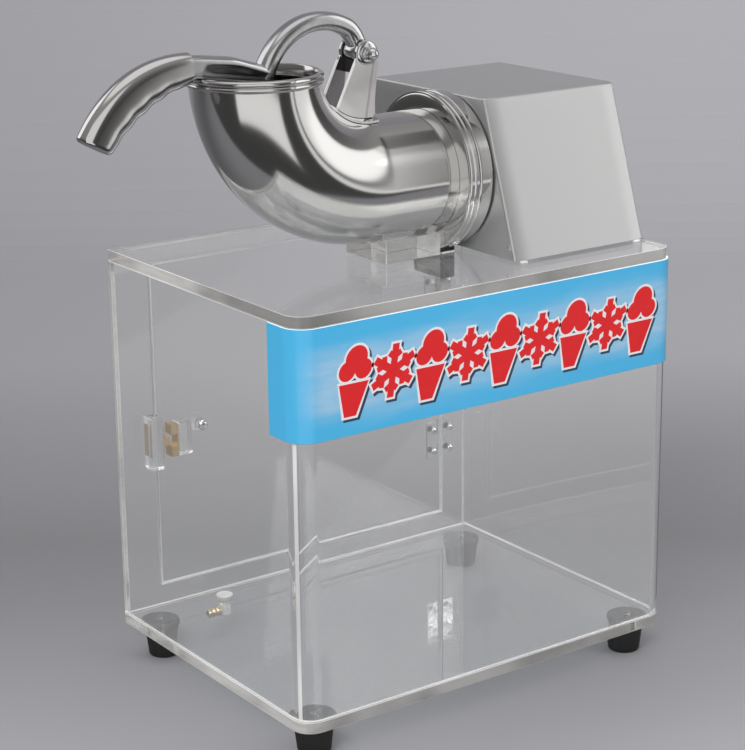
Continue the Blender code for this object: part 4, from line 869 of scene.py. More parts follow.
# Painted light: the band's inner backing glows.
SIGN_BACKING = AcrylicFinish("sign_backing", Slot.SIGN, (0.90, 0.89, 0.87), 0.5, clarity=0.0,
                             glow=0.55)
SIGN_SHADE = MouldedFinish("sign_shade", Slot.SIGN, srgb(52, 66, 86), 0.35, wear=0.1, skin=0.0)

HIDDEN_NODES: dict[SurfaceFinish, tuple[str, ...]] = {
    BRIGHT: ("motor_shaft",),
    SATIN: ("motor_rotor", "bearing_front", "bearing_rear", "motor_mount"),
    ROUGH_CAST: ("motor_stator", "motor_front_bell", "motor_rear_bell"),
    PLASTIC: ("cooling_fan",),
}


def dress_hidden(nodes: dict[str, Piece]) -> None:
    """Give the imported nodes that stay, inside the cover, their finishes.

    Args:
        nodes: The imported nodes' objects by name.
    """
    for finish, names in HIDDEN_NODES.items():
        for name in names:
            for slot in nodes[name].material_slots:
                slot.material = finish.material()
            LOG.info("%s keeps its solid, in %s", name, finish.name)


def coat(piece: Piece, *finishes: SurfaceFinish) -> None:
    """Give a piece its list of finishes."""
    piece.data.materials.clear()
    for finish in finishes:
        piece.data.materials.append(finish.material())


def fit(piece: Piece, finish: SurfaceFinish | None, body: Body, *nodes: str,
        slot: Slot | None = None) -> Piece:
    """Give a piece its finish and its body, and hide the nodes it stands for.

    Args:
        piece: The finished piece.
        finish: Its one finish, or None where its faces already have theirs.
        body: The body that it rides on.
        *nodes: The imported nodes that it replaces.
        slot: The record's material slot, where it isn't the finish's own. Not used.

    Returns:
        The piece.
    """
    if finish is not None:
        coat(piece, finish)
    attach(piece, body.value)
    if nodes:
        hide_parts(*nodes)
    LOG.info("%s rides on %s, %d faces", piece.name, body.value, len(piece.data.polygons))
    return piece


def fit_soft(node: str, name: str, width: float, finish: SurfaceFinish,
             body: Body = Body.MACHINE) -> Piece:
    """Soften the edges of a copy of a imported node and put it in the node's place.

    Args:
        node: The node's name.
        name: The piece's name.
        width: How wide the rounded edges are.
        finish: The piece's finish.
        body: The body that it rides on.

    Returns:
        The piece.
    """
    return fit(soften(node_copy(node, name), width), finish, body, node)


class Face(Enum):
    """What a face of an acrylic piece looks like, and its place in the material list."""

    CLEAR = 0
    SAWN = 1
    # Corner faces take the painted highlight.
    CORNER = 2


FaceRule = Callable[[Vector, Vector], Face]


def sheet_face(axis: Axis) -> FaceRule:
    """Return the rule for a flat sheet: clear along an axis, sawn round its edge."""
    def rule(normal: Vector, place: Vector) -> Face:
        along = abs(normal.dot(Vector(axis.value)))
        return Face.CLEAR if along > 0.98 else Face.SAWN if along < 0.06 else Face.CORNER
    return rule


def block_face(normal: Vector, place: Vector) -> Face:
    """Say how a polished block looks: clear but for its corners, which take the painted highlight,
    and two sawn sides.
    """
    if normal.x > 0.98 or normal.y > 0.98:
        return Face.SAWN
    square = max(map(abs, normal)) > 0.9995 or abs(normal.x) < 0.01 and normal.z > 0.02
    return Face.CLEAR if square else Face.CORNER


def bent_face(normal: Vector, place: Vector) -> Face:
    """Say how the bent front sheet looks: clear but for its ends and a painted highlight line on a
    bend.
    """
    level = abs(normal.z)
    behind = place.y > PLACES.case_back - 0.001
    if level < 0.06 and not behind:
        turn = math.degrees(math.atan2(-normal.x, -normal.y))
        near = place.x < 0.0 and place.y < -0.1
        return Face.CORNER if near and 57.0 < turn < 72.0 else Face.CLEAR
    return Face.SAWN if level > 0.98 or abs(normal.y) > 0.98 else Face.CORNER


def sheet_faces(piece: Piece, rule: FaceRule, margin: float = 0.015) -> Piece:
    """Give an acrylic piece clear faces, sawn edges with a painted glow, and corners with a
    painted highlight.

    Args:
        piece: The piece, with its corners softened.
        rule: Says from a face's normal and centre what it looks like.
        margin: Faces further than this inside the piece's box are clear.

    Returns:
        The piece.
    """
    coat(piece, ACRYLIC, EDGE, ACRYLIC_HIGHLIGHT)
    points = [vertex.co for vertex in piece.data.vertices]
    low = [min(point[i] for point in points) + margin for i in range(3)]
    high = [max(point[i] for point in points) - margin for i in range(3)]
    for face in piece.data.polygons:
        inner = all(low[i] < face.center[i] < high[i] or high[i] < low[i] for i in range(3))
        kind = Face.CLEAR if inner else rule(face.normal, face.center)
        face.material_index = kind.value
    return piece


@dataclass
class ScrewPattern:
    """Domed screws with a cross recess, set out in rows by Geometry Nodes."""

    radius: float = 0.0022
    rise: float = 0.0011
    sunk: float = 0.0004
    sides: int = 20
    recess: float = 0.0013
    recess_width: float = 0.0005

    def head(self, facing: Axis) -> Piece:
        """Make one head at the origin, facing along an axis."""
        profile = [(-self.sunk, 0.0), (-self.sunk, self.radius), (0.0, self.radius)]
        for angle in (20, 45, 70):
            out, up = polar(angle)
            profile.append((self.rise * up, self.radius * out))
        profile.append((self.rise, 0.0))
        head = lathe("screw_head", profile, (0, 0, 0), facing, self.sides)
        axis = next(i for i, share in enumerate(facing.value) if share)
        ends = sorted(facing.value[axis] * self.rise * share for share in (0.35, 2.0))
        half = self.recess_width / 2
        for wide, tall in ((self.recess, half), (half, self.recess)):
            low, high = [-wide, -tall], [wide, tall]
            low.insert(axis, ends[0])
            high.insert(axis, ends[1])
            combine(head, block("slot", low, high))
        return smooth(head, 50.0)

    def row(self, name: str, finish: SurfaceFinish, facing: Axis, start: Point3,
            counts: tuple[int, int], steps: tuple[Point3, Point3]) -> Piece:
        """Set heads out on a lattice.

        Args:
            name: The new piece's name.
            finish: The screws' finish.
            facing: Where the heads face.
            start: The first head's place.
            counts: How many heads lie along each of the two steps.
            steps: The two steps from one head to the next.

        Returns:
            All the heads as one piece.
        """
        return lattice(name, self.head(facing), finish, start, counts, steps)


def lattice(name: str, pattern: Piece, finish: SurfaceFinish, start: Point3,
            counts: tuple[int, int], steps: tuple[Point3, Point3]) -> Piece:
    """Copy a pattern onto a lattice of places with Geometry Nodes, and drop the pattern.

    Args:
        name: The new piece's name.
        pattern: The shape to copy, made at the origin.
        finish: The finish of the copies.
        start: The first copy's place.
        counts: How many copies lie along each step.
        steps: The two steps from one copy to the next.

    Returns:
        The copies as one plain mesh.
    """
    tree = PieceTree(name, {"Start": Vector(start), "Columns": counts[0], "Rows": counts[1],
                            "Column Step": Vector(steps[0]), "Row Step": Vector(steps[1])})
    columns = tree.add("GeometryNodeMeshLine", {
        "Count": tree.size("Columns"), "Start Location": tree.size("Start"),
        "Offset": tree.size("Column Step")}, mode='OFFSET')
    rows = tree.add("GeometryNodeMeshLine", {
        "Count": tree.size("Rows"), "Offset": tree.size("Row Step")}, mode='OFFSET')
    spread = tree.add("GeometryNodeInstanceOnPoints", {"Points": columns.outputs[0],
                                                       "Instance": rows.outputs[0]})
    points = tree.add("GeometryNodeRealizeInstances", {0: spread.outputs[0]})
    shape = tree.add("GeometryNodeObjectInfo", {"Object": pattern})
    copies = tree.add("GeometryNodeInstanceOnPoints", {"Points": points.outputs[0],
                                                       "Instance": shape.outputs["Geometry"]})
    piece = tree.make(name, copies.outputs[0], finish.material())
    drop(pattern)
    return smooth(piece, 40.0)


@dataclass
class Cabinet:
    """The clear box: base, top, bent front sheet, back panel, cradle and bumpers."""

    corner: float = 0.0005
    cradle_corner: float = 0.0007
    bend: float = 0.018
    bend_steps: int = 16
    drain_hole: float = 0.0060
    stud_hole: float = 0.0029
    stud_depth: float = 0.0063

    def build(self) -> None:
        """Make the sheets, the cradle and the bumpers."""
        self.sheet("top_plate", sheet_face(Axis.Z))
        self.sheet("base_plate", sheet_face(Axis.Z), blank=self.base())
        self.sheet("wrap_panel", bent_face)
        self.sheet("back_panel", sheet_face(Axis.Y))
        self.sheet("hopper_cradle", block_face, self.cradle_corner)
        for side in ("left", "right"):
            self.add_bumper(side)

    def sheet(self, node: str, rule: FaceRule, width: float | None = None,
              blank: Piece | None = None) -> Piece:
        """Soften a sheet's corners and give its faces their finishes.

        Args:
            node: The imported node, whose name the piece's name starts with.
            rule: What each face looks like.
            width: The corner's width, if it isn't the usual one.
            blank: The shape, if it isn't a copy of the node's solid.

        Returns:
            The fitted piece.
        """
        piece = blank or node_copy(node, f"{node}_sheet")
        soften(piece, width or self.corner)
        return fit(sheet_faces(piece, rule), None, Body.MACHINE, node, slot=Slot.ACRYLIC)

    def base(self) -> Piece:
        """Cut the base plate with its rounded front corners, drain hole and stud holes."""
        low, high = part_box("base_plate")
        bend, steps = self.bend, self.bend_steps
        outline = [(low.x, high.y)]
        outline += arc((low.x + bend, low.y + bend), bend, 180.0, 270.0, steps)
        outline += arc((high.x - bend, low.y + bend), bend, 270.0, 360.0, steps)
        outline.append((high.x, high.y))
        plate = prism("base_plate_sheet", outline, Axis.Z, low.z, high.z)
        below = low.z - OVERCUT
        drill(plate, middle_of("drain_cup"), Axis.Z, (below, high.z + OVERCUT),
              self.drain_hole, 48)
        for corner in CORNERS:
            drill(plate, middle_of(f"foot_{corner}"), Axis.Z, (below, self.stud_depth),
                  self.stud_hole, 24)
        return plate

    def add_bumper(self, side: str) -> None:
        """Turn one of the clear domed bumpers under the cover's front edge."""
        node = f"cover_bumper_{side}"
        low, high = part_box(node)
        radius, top = (high.x - low.x) / 2, high.z - low.z
        x, y, _ = middle_of(node)
        profile = [(0.0, 0.0), (0.0, radius)]
        for angle in (20, 45, 70, 90):
            out, up = polar(angle)
            profile.append((top * up, radius * (0.75 + 0.25 * out)))
        profile.append((top, 0.0))
        bumper = lathe(f"bumper_{side}", profile, (x, y, low.z), Axis.Z, 32)
        # The bumper takes the pale, glowing acrylic of the painted highlights.
        fit(smooth(bumper, 50.0), ACRYLIC_HIGHLIGHT, Body.MACHINE, node)


@dataclass
class Sign:
    """The printed band round the cabinet's front, with a row of plain ice motifs."""

    face: float = -0.1523
    bottom: float = 0.2526
    top: float = 0.3463
    first: float = -0.1470
    pitch: float = 0.0382
    count: int = 9
    layer: float = 0.00012
    outline: float = 0.0017
    shade_shift: Point2 = (0.0020, -0.0022)
    slant: float = 0.16
    scale: float = 1.16
    scoops: tuple[Point3, ...] = ((-0.0068, 0.0060, 0.0070), (0.0068, 0.0060, 0.0070),
                                  (0.0, 0.0140, 0.0092))
    cup_foot: Point2 = (0.0050, -0.0265)
    cup_lip: Point2 = (0.0125, -0.0030)
    flake_reach: float = 0.0190
    flake_half: float = 0.0028
    barb_length: float = 0.0062
    barb_turn: float = 55.0

    def build(self) -> None:
        """Make the band and its motifs."""
        self.add_band()
        middle = (self.bottom + self.top) / 2
        layers = ((SIGN_SHADE, self.outline, self.shade_shift),
                  (SIGN_WHITE, self.outline, (0.0, 0.0)), (SIGN_RED, 0.0, (0.0, 0.0)))
        step = (2 * self.pitch, 0.0, 0.0)
        for kind, make, start in (("cup", self.cup, 0), ("flake", self.flake, 1)):
            copies = (self.count + 1 - start) // 2
            for level, (finish, grow, shift) in enumerate(layers):
                pattern = self.print_shape(f"{kind}_pattern", make(grow), level)
                place = (self.first + start * self.pitch + shift[0], 0.0, middle + shift[1])
                piece = lattice(f"sign_{kind}_{finish.name[5:]}", pattern, finish, place,
                                (copies, 1), (step, step))
                fit(piece, finish, Body.MACHINE)

    def add_band(self) -> None:
        """Soften the band, printed on its outer faces, with a pale backing on its inner ones that
        glows with painted light.
        """
        band = soften(node_copy("sign_band", "sign_sheet"), 0.0003, 1)
        coat(band, SIGN_BLUE, SIGN_BACKING)
        for face in band.data.polygons:
            inward = face.normal.xy.dot(face.center.xy) < 0
            face.material_index = 1 if inward or abs(face.normal.z) > 0.9 else 0
        fit(band, None, Body.MACHINE, "sign_band", slot=Slot.SIGN)

    def print_shape(self, name: str, outlines: Sequence[Sequence[Point2]], level: int) -> Piece:
        """Join flat outlines into one thin printed shape, leaning like the original's.

        Args:
            name: The pattern's name.
            outlines: Closed outlines in x and z about the motif's middle.
            level: Which layer of ink it is.

        Returns:
            The pattern, in front of the sign's face.
        """
        front = self.face - (level + 1) * self.layer
        whole = None
        for outline in outlines:
            lean = [(self.scale * (x + self.slant * z), self.scale * z) for x, z in outline]
            part = prism(name, lean, Axis.Y, front, front + 0.9 * self.layer)
            whole = part if whole is None else combine(whole, part, 'UNION')
        return whole

    def cup(self, grow: float) -> list[list[Point2]]:
        """Outline three scoops of ice over a narrow cup, each grown by a margin."""
        outlines = [arc((x, z), radius + grow, 0, 345, 23) for x, z, radius in self.scoops]
        foot, low = self.cup_foot[0] + grow, self.cup_foot[1] - grow
        lip, high = self.cup_lip[0] + grow, self.cup_lip[1] + grow
        outlines.append([(-foot, low), (foot, low), (lip, high), (-lip, high)])
        return outlines

    def flake(self, grow: float) -> list[list[Point2]]:
        """Outline a snow crystal of crossed bars with barbs, each grown by a margin."""
        def bar(start: Point2, degrees: float, length: float, half: float) -> list[Point2]:
            along = polar(degrees)
            side = (-along[1], along[0])
            corners = ((-grow, -half - grow), (length + grow, -half - grow),
                       (length + grow, half + grow), (-grow, half + grow))
            return [(start[0] + u * along[0] + v * side[0], start[1] + u * along[1] + v * side[1])
                    for u, v in corners]
        reach, half = self.flake_reach, self.flake_half
        outlines = []
        for arm in range(6):
            degrees = 30.0 + 60.0 * arm
            if arm < 3:
                outlines.append(bar(polar(degrees, -reach), degrees, 2 * reach, half))
            for side in (-1, 1):
                outlines.append(bar(polar(degrees, 0.5 * reach), degrees + self.barb_turn * side,
                                    self.barb_length, 0.75 * half))
        return outlines


@dataclass
class Door:
    """The clear back door with its hinges, knob and brass catch."""

    axis_x: float = 0.1655
    axis_y: float = 0.1533
    hinge_middles: tuple[tuple[str, float], ...] = (("lower", 0.108), ("upper", 0.2525))
    pin_neck: float = 0.0012
    pin_head: float = 0.0022
    pin_cap: float = 0.0010
    screw_spread: float = 0.022
    screw_out: float = 0.0100
    knob_radius: float = 0.0088
    knob_neck: float = 0.0045
    knob_bore: float = 0.0022
    knob_bore_depth: float = 0.0063
    screw_stem: float = 0.0018
    cross: Point2 = (0.0022, 0.0004)

    def build(self) -> None:
        """Make the door and all that hangs on it."""
        plate = soften(block("door_panel_sheet", *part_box("door_panel")), 0.0005)
        fit(sheet_faces(plate, sheet_face(Axis.Y)), None, Body.DOOR, "door_panel",
            slot=Slot.ACRYLIC)
        for side, body in (("case", Body.MACHINE), ("door", Body.DOOR)):
            for level, _ in self.hinge_middles:
                fit_soft(f"hinge_leaf_{side}_{level}", f"hinge_{side}_{level}", 0.00025, BRIGHT,
                         body)
        for level, middle in self.hinge_middles:
            self.add_pin(level)
            self.add_hinge_screws(level, middle)
        self.add_knob()
        self.add_knob_screw()
        self.add_latch()

    def add_pin(self, level: str) -> None:
        """Turn a hinge's pin with its rounded head."""
        low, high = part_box(f"hinge_pin_{level}")
        neck, head, cap = self.pin_neck, self.pin_head, self.pin_cap
        top = high.z - cap
        profile = [(low.z, 0.0), (low.z, neck), (top, neck), (top, head),
                   (top + 0.6 * cap, head), (high.z, 0.6 * head), (high.z, 0.0)]
        pin = lathe(f"pin_{level}", profile, (self.axis_x, self.axis_y, 0.0), Axis.Z, 24)
        fit(smooth(pin), BRIGHT, Body.MACHINE, f"hinge_pin_{level}")

    def add_hinge_screws(self, level: str, middle: float) -> None:
        """Set a hinge's screws out on its leaves, and their nuts inside the cabinet."""
        z = middle - self.screw_spread / 2
        inside = PLACES.case_back - PLACES.panel - 0.0002
        for side, body, sign in (("case", Body.MACHINE, 1), ("door", Body.DOOR, -1)):
            x = self.axis_x + sign * self.screw_out
            for kind, pattern, facing, y in (
                    ("screws", ScrewPattern(0.0030, 0.0014, 0.0008), Axis.Y,
                     self.axis_y - 0.0010),
                    ("nuts", ScrewPattern(0.0032, 0.0016, 0.0003), Axis.MINUS_Y, inside)):
                row = pattern.row(f"hinge_{kind}_{side}_{level}", BRIGHT, facing, (x, y, z),
                                  (1, 2), ((0, 0, 0), (0, 0, self.screw_spread)))
                fit(row, BRIGHT, body)

    def knob_axis(self) -> Point3:
        """Return a point of the knob's axis, at Y zero."""
        low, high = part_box("door_knob")
        return ((low.x + high.x) / 2, 0.0, (low.z + high.z) / 2)

    def add_knob(self) -> None:
        """Turn the clear ball knob, bored for its screw."""
        low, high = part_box("door_knob")
        start, neck, radius = low.y, self.knob_neck, self.knob_radius
        depth = start + self.knob_bore_depth
        profile = [(depth, 0.0), (depth, self.knob_bore), (start, self.knob_bore),
                   (start, neck + 0.0014), (start + 0.0006, neck + 0.0016),
                   (start + 0.0020, neck), (start + 0.0040, neck - 0.0006)]
        for angle in range(140, 0, -10):
            profile.append(polar(angle, radius, (high.y - radius, 0.0)))
        profile.append((high.y, 0.0))
        knob = lathe("knob_ball", profile, self.knob_axis(), Axis.Y, 48)
        fit(smooth(knob, 50.0), ACRYLIC, Body.DOOR, "door_knob")

    def add_knob_screw(self) -> None:
        """Turn the knob's screw and cut the cross in its head."""
        low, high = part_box("door_knob_screw")
        start, head, stem = low.y, (high.x - low.x) / 2, self.screw_stem
        profile = [(start, 0.0), (start + 0.0001, 0.55 * head), (start + 0.0009, 0.85 * head),
                   (start + 0.0020, head), (start + 0.0025, head), (start + 0.0025, stem),
                   (high.y, stem), (high.y, 0.0)]
        x, _, z = self.knob_axis()
        screw = lathe("knob_screw", profile, (x, 0.0, z), Axis.Y, 32)
        for wide, tall in (self.cross, self.cross[::-1]):
            combine(screw, block("slot", (x - wide, start - 0.001, z - tall),
                                 (x + wide, start + 0.0008, z + tall)))
        fit(smooth(screw, 40.0), BRIGHT, Body.DOOR, "door_knob_screw")

    def add_latch(self) -> None:
        """Make the two clear blocks and the brass catch between them."""
        for node, body in (("latch_block_case", Body.MACHINE), ("latch_block_door", Body.DOOR)):
            piece = soften(node_copy(node, f"{node}_clear"), 0.0006)
            fit(sheet_faces(piece, block_face), None, body, node, slot=Slot.ACRYLIC)
        for node, body in (("latch_strike", Body.MACHINE), ("latch_catch", Body.DOOR)):
            fit_soft(node, f"{node}_brass", 0.0003, BRASS, body)


@dataclass
class Standing:
    """The rubber feet and the drain in the base plate."""

    top_radius: float = 0.018
    bottom_radius: float = 0.014
    height: float = 0.028
    stud_radius: float = 0.0025
    stud_height: float = 0.006
    hollow_radius: float = 0.0080
    hollow_depth: float = 0.012
    cup_lip: float = 0.0078
    cup_body: float = 0.0056
    cup_bore: float = 0.0036
    cup_lip_height: float = 0.0055
    port_z: float = -0.0065
    port_radius: float = 0.0025
    barb_start: float = 0.0059
    barb_pitch: float = 0.013 / 3
    barb_radius: float = 0.0042
    barb_bore: float = 0.0022
    barb_rings: int = 3

    def build(self) -> None:
        """Make the feet, the drain cup and its barb."""
        for corner in CORNERS:
            self.add_foot(corner)
        self.add_drain()
        self.add_barb()

    def add_foot(self, corner: str) -> None:
        """Turn one foot: a lip under the plate, a taper, a rounded toe and a hollow."""
        top, toe, floor, hollow = (self.top_radius, self.bottom_radius, -self.height,
                                   self.hollow_radius)
        deep = floor + self.hollow_depth
        profile = [(self.stud_height, 0.0), (self.stud_height, self.stud_radius),
                   (-GAP, self.stud_radius), (-GAP, top - 0.0006), (-0.0009, top),
                   (-0.0045, top), (-0.0053, top - 0.0005), (-0.0056, top - 0.0012),
                   (floor + 0.0020, toe + 0.0004), (floor + 0.0006, toe - 0.0002),
                   (floor, toe - 0.0014), (floor, hollow + 0.0005), (floor + 0.0005, hollow),
                   (deep, hollow - 0.0004), (deep, 0.0)]
        foot = lathe(f"foot_{corner}_rubber", profile, middle_of(f"foot_{corner}"), Axis.Z, 64)
        fit(smooth(foot, 40.0), RUBBER, Body.MACHINE, f"foot_{corner}", slot=Slot.FOOT)

    def port(self) -> Point3:
        """Return where the barb's axis meets the drain cup's."""
        x, y, _ = middle_of("drain_cup")
        return (x, y, self.port_z)

    def add_drain(self) -> None:
        """Turn the nylon cup and drill its port."""
        low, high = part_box("drain_cup")
        lip, body, bore = self.cup_lip, self.cup_body, self.cup_bore
        seat, floor, top = high.z - self.cup_lip_height, low.z + 0.002, high.z
        profile = [(low.z, 0.0), (low.z, body - 0.002), (floor, body), (seat, body),
                   (seat, lip - 0.0010), (seat + 0.0008, lip - 0.0004), (top - 0.0006, lip),
                   (top, lip - 0.0006), (top, bore + 0.0026), (top - 0.0008, bore + 0.0019),
                   (seat, bore), (floor, bore), (floor, 0.0)]
        cup = lathe("drain_cup_nylon", profile, middle_of("drain_cup"), Axis.Z, 48)
        drill(cup, self.port(), Axis.MINUS_X, (0.0, 0.012), self.port_radius, 24)
        fit(smooth(cup, 40.0), NYLON, Body.MACHINE, "drain_cup")

    def add_barb(self) -> None:
        """Turn the brass barb with its rings."""
        start, pitch, wide = self.barb_start, self.barb_pitch, self.barb_radius
        profile = [(start, self.barb_bore), (start, wide)]
        for i in range(self.barb_rings):
            profile += [(start + (i + 0.55) * pitch, wide), (start + (i + 0.70) * pitch, wide),
                        (start + (i + 1) * pitch, wide - 0.0010)]
        profile.append((start + self.barb_rings * pitch, self.barb_bore))
        barb = lathe("drain_barb_brass", profile, self.port(), Axis.MINUS_X, 48, closed=True)
        fit(smooth(barb, 30.0), BRASS, Body.MACHINE, "drain_barb")


@dataclass
class Hopper:
    """The bent tube, its beaded rim, and the bracket that carries the lever."""

    around: int = 96
    along: int = 84
    leg_share: float = 0.26
    rim_radius: float = 0.0571
    rim_seat: float = 0.00352
    beads: tuple[Point2, ...] = ((0.0024, 0.0020), (0.0070, 0.0025))
    ear_half: float = 0.0105
    ear_thickness: float = 0.0020
    ear_top: float = 0.0112
    ear_left: float = 231.0
    ear_right: float = 276.0
    saddle_steps: int = 24
    strip_right: float = 0.0062
    strip_left: float = 0.0040
    strip_rise: float = 0.0016
    foot_reach: float = 0.0185
    foot_sheet: float = 0.0020
    bolt_head: float = 0.0065
    bolt_neck: float = 0.0040
    nut_radius: float = 0.0060
    nut_flats: float = 0.0054
    nut_depth: float = 0.0083
    dome_radius: float = 0.0053

    def build(self) -> None:
        """Make the tube, the rim and the bracket with its hardware."""
        self.add_elbow()
        self.add_rim()
        self.add_bracket()
        # A black rubber block between the hub and the far ear stands for a dark patch by the
        # pivot, which is partly a real spacer and partly painted shade.
        fit_soft("spacer_block", "spacer_rubber", 0.0004, RUBBER)
        self.add_washer()
        self.add_bolt()
        self.add_nut()

    def add_elbow(self) -> None:
        """Bend a grid into the tube with Geometry Nodes, then give it its wall."""
        tree = PieceTree("elbow_tree", {
            "Around": self.around + 1, "Along": self.along + 1,
            "Tube Radius": PLACES.tube_radius, "Bend Radius": PLACES.bend_radius,
            "Bend Centre": Vector((PLACES.bend_x, PLACES.hopper_y, PLACES.bend_z)),
            "Leg Length": PLACES.leg, "Mouth Drop": PLACES.bend_z - PLACES.mouth_z,
            "Leg Share": self.leg_share})
        grid = tree.add("GeometryNodeMeshGrid", {
            "Size X": 1.0, "Size Y": 1.0, "Vertices X": tree.size("Around"),
            "Vertices Y": tree.size("Along")})
        axes = tree.axes(tree.add("GeometryNodeInputPosition").outputs[0])
        angle = tree.maths("MULTIPLY_ADD", axes[0], math.tau, math.pi)
        travel = tree.maths("ADD", axes[1], 0.5)
        reach = tree.maths("SUBTRACT", tree.size("Bend Radius"), tree.maths(
            "MULTIPLY", tree.size("Tube Radius"), tree.maths("COSINE", angle)))
        across = tree.maths("MULTIPLY", tree.size("Tube Radius"), tree.maths("SINE", angle))
        last = tree.maths("ARCCOSINE", tree.maths("DIVIDE", tree.size("Mouth Drop"), reach))
        share = tree.size("Leg Share")
        left = tree.maths("SUBTRACT", 1.0, tree.maths("DIVIDE", travel, share))
        leg = tree.maths("MULTIPLY", tree.maths("MAXIMUM", left, 0.0), tree.size("Leg Length"))
        bent = tree.maths("DIVIDE", tree.maths("SUBTRACT", travel, share),
                          tree.maths("SUBTRACT", 1.0, share))
        turn = tree.maths("MULTIPLY", tree.maths("MAXIMUM", bent, 0.0), last)
        x = tree.maths("SUBTRACT", leg, tree.maths("MULTIPLY", reach, tree.maths("SINE", turn)))
        z = tree.maths("MULTIPLY", reach, tree.maths("COSINE", turn))
        place = tree.add("ShaderNodeVectorMath", {
            0: tree.vector(x, across, tree.maths("MULTIPLY", z, -1.0)),
            1: tree.size("Bend Centre")}, operation='ADD')
        bend = tree.add("GeometryNodeSetPosition", {"Geometry": grid.outputs["Mesh"],
                                                    "Position": place.outputs[0]})
        closed = tree.add("GeometryNodeMergeByDistance", {"Geometry": bend.outputs[0],
                                                          "Distance": 1e-5})
        elbow = outward(tree.make("elbow_tube", closed.outputs[0], POLISHED.material()))
        axis = Vector((PLACES.mouth_x, PLACES.hopper_y, PLACES.mouth_z))
        face = min(elbow.data.polygons, key=lambda p: (p.center - axis).length)
        if face.normal.dot(face.center - axis) < 0:
            turn_over(elbow)
        thicken(elbow, PLACES.tube_wall)
        fit(smooth(elbow, 50.0), POLISHED, Body.MACHINE, "hopper_elbow")

    def add_rim(self) -> None:
        """Turn the rim with its two rolled beads."""
        low, radius = PLACES.mouth_z + GAP, self.rim_radius
        bore = PLACES.tube_radius - PLACES.tube_wall
        profile = [(low, bore), (low, radius - self.rim_seat)]
        for middle, bead in self.beads:
            for angle in range(-80, 81, 20):
                out, up = polar(angle, bead)
                profile.append((low + middle + up, radius - bead + out))
        top = PLACES.rim_top()
        profile += [(top - 0.0001, radius - 0.0030), (top, radius - 0.0038),
                    (top - 0.0002, bore + 0.0004), (top - 0.0008, bore)]
        rim = lathe("rim_beaded", profile, (PLACES.mouth_x, PLACES.hopper_y, 0.0), Axis.Z, 96,
                    closed=True)
        fit(smooth(rim, 50.0), POLISHED, Body.MACHINE, "hopper_rim")

    def ear_outline(self) -> list[Point2]:
        """Return an ear's outline in x and z: a saddle below and a round top."""
        bend = (PLACES.bend_x, PLACES.bend_z)
        saddle = PLACES.bend_radius - PLACES.tube_radius - GAP
        outline = arc(bend, saddle - 0.001, self.ear_left, self.ear_right, self.saddle_steps)
        outline += arc((PLACES.pivot_x, PLACES.pivot_z), self.ear_top, -15.0, 195.0, 28)
        return outline

    def add_bracket(self) -> None:
        """Fold the bracket: two ears with turned edges and a foot that follows the tube."""
        y, half, sheet = PLACES.hopper_y, self.ear_half, self.ear_thickness
        outline = self.ear_outline()
        near = prism("bracket_folded", outline, Axis.Y, y - half - sheet, y - half)
        combine(near, prism("far_ear", outline, Axis.Y, y + half, y + half + sheet), 'UNION')
        last = self.saddle_steps
        for foot, top, wide in ((outline[last], outline[last + 1], -self.strip_right),
                                (outline[0], outline[-1], self.strip_left)):
            foot, lean = Vector(foot), (Vector(top) - Vector(foot)) * 0.90
            strip = [foot, foot + lean, foot + lean + Vector((0.6 * wide, 0.0)),
                     foot + Vector((wide, 0.0))]
            for side in (-1, 1):
                ys = sorted((y + side * (half + 0.4 * sheet),
                             y + side * (half + sheet + self.strip_rise)))
                combine(near, prism("turned_edge", [tuple(p) for p in strip], Axis.Y, *ys),
                        'UNION')
        combine(near, self.foot_plate(), 'UNION')
        drill(near, PLACES.pivot(), Axis.Y, (-0.03, 0.03), PLACES.pivot_bore, 32)
        soften(outward(near), 0.0005, 2, 40.0)
        fit(near, BRACKET, Body.MACHINE, "lever_bracket")

    def foot_plate(self) -> Piece:
        """Make the curved foot, which lies on the tube's inner bend."""
        tube = PLACES.tube_radius + 0.0004
        rings = []
        for step in range(25):
            angle = self.ear_left - 3 + (self.ear_right - self.ear_left + 6) * step / 24
            low, high = [], []
            for place in range(13):
                side = self.foot_reach * (place / 6 - 1)
                reach = PLACES.bend_radius - math.sqrt(tube ** 2 - side ** 2)
                for row, lift in ((low, 0.0), (high, self.foot_sheet)):
                    x, z = polar(angle, reach - lift, (PLACES.bend_x, PLACES.bend_z))
                    row.append(Vector((x, PLACES.hopper_y + side, z)))
            rings.append(low + high[::-1])
        return loft("foot_plate", rings)

    def on_pivot(self, name: str, profile: Sequence[Point2], sides: int,
                 closed: bool = False) -> Piece:
        """Turn a piece about the lever's pivot, with its distances counted as Y."""
        centre = (PLACES.pivot_x, 0.0, PLACES.pivot_z)
        return lathe(name, profile, centre, Axis.Y, sides, closed)

    def add_washer(self) -> None:
        """Turn the dished washer."""
        low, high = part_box("pivot_washer")
        near, far, bore = low.y, high.y, PLACES.pivot_bore
        profile = [(near, bore), (near, 0.0080), (near + 0.0003, 0.0094), (near + 0.0008, 0.0100),
                   (far, 0.0100), (far, bore)]
        washer = self.on_pivot("washer_dished", profile, 64, closed=True)
        fit(smooth(washer, 50.0), BRIGHT, Body.MACHINE, "pivot_washer")

    def add_bolt(self) -> None:
        """Turn the bolt with its domed head."""
        low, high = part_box("pivot_bolt")
        head, neck, base = self.bolt_head, self.bolt_neck, high.y - 0.0050
        profile = [(low.y, 0.0), (low.y, neck), (base, neck), (base, head)]
        for angle in (0, 20, 40, 60, 80):
            out, up = polar(angle)
            profile.append((base + 0.0022 + 0.0028 * up, head * (0.35 + 0.65 * out)))
        profile.append((high.y, 0.0))
        bolt = self.on_pivot("bolt_domed", profile, 48)
        fit(smooth(bolt, 45.0), BRIGHT, Body.MACHINE, "pivot_bolt")

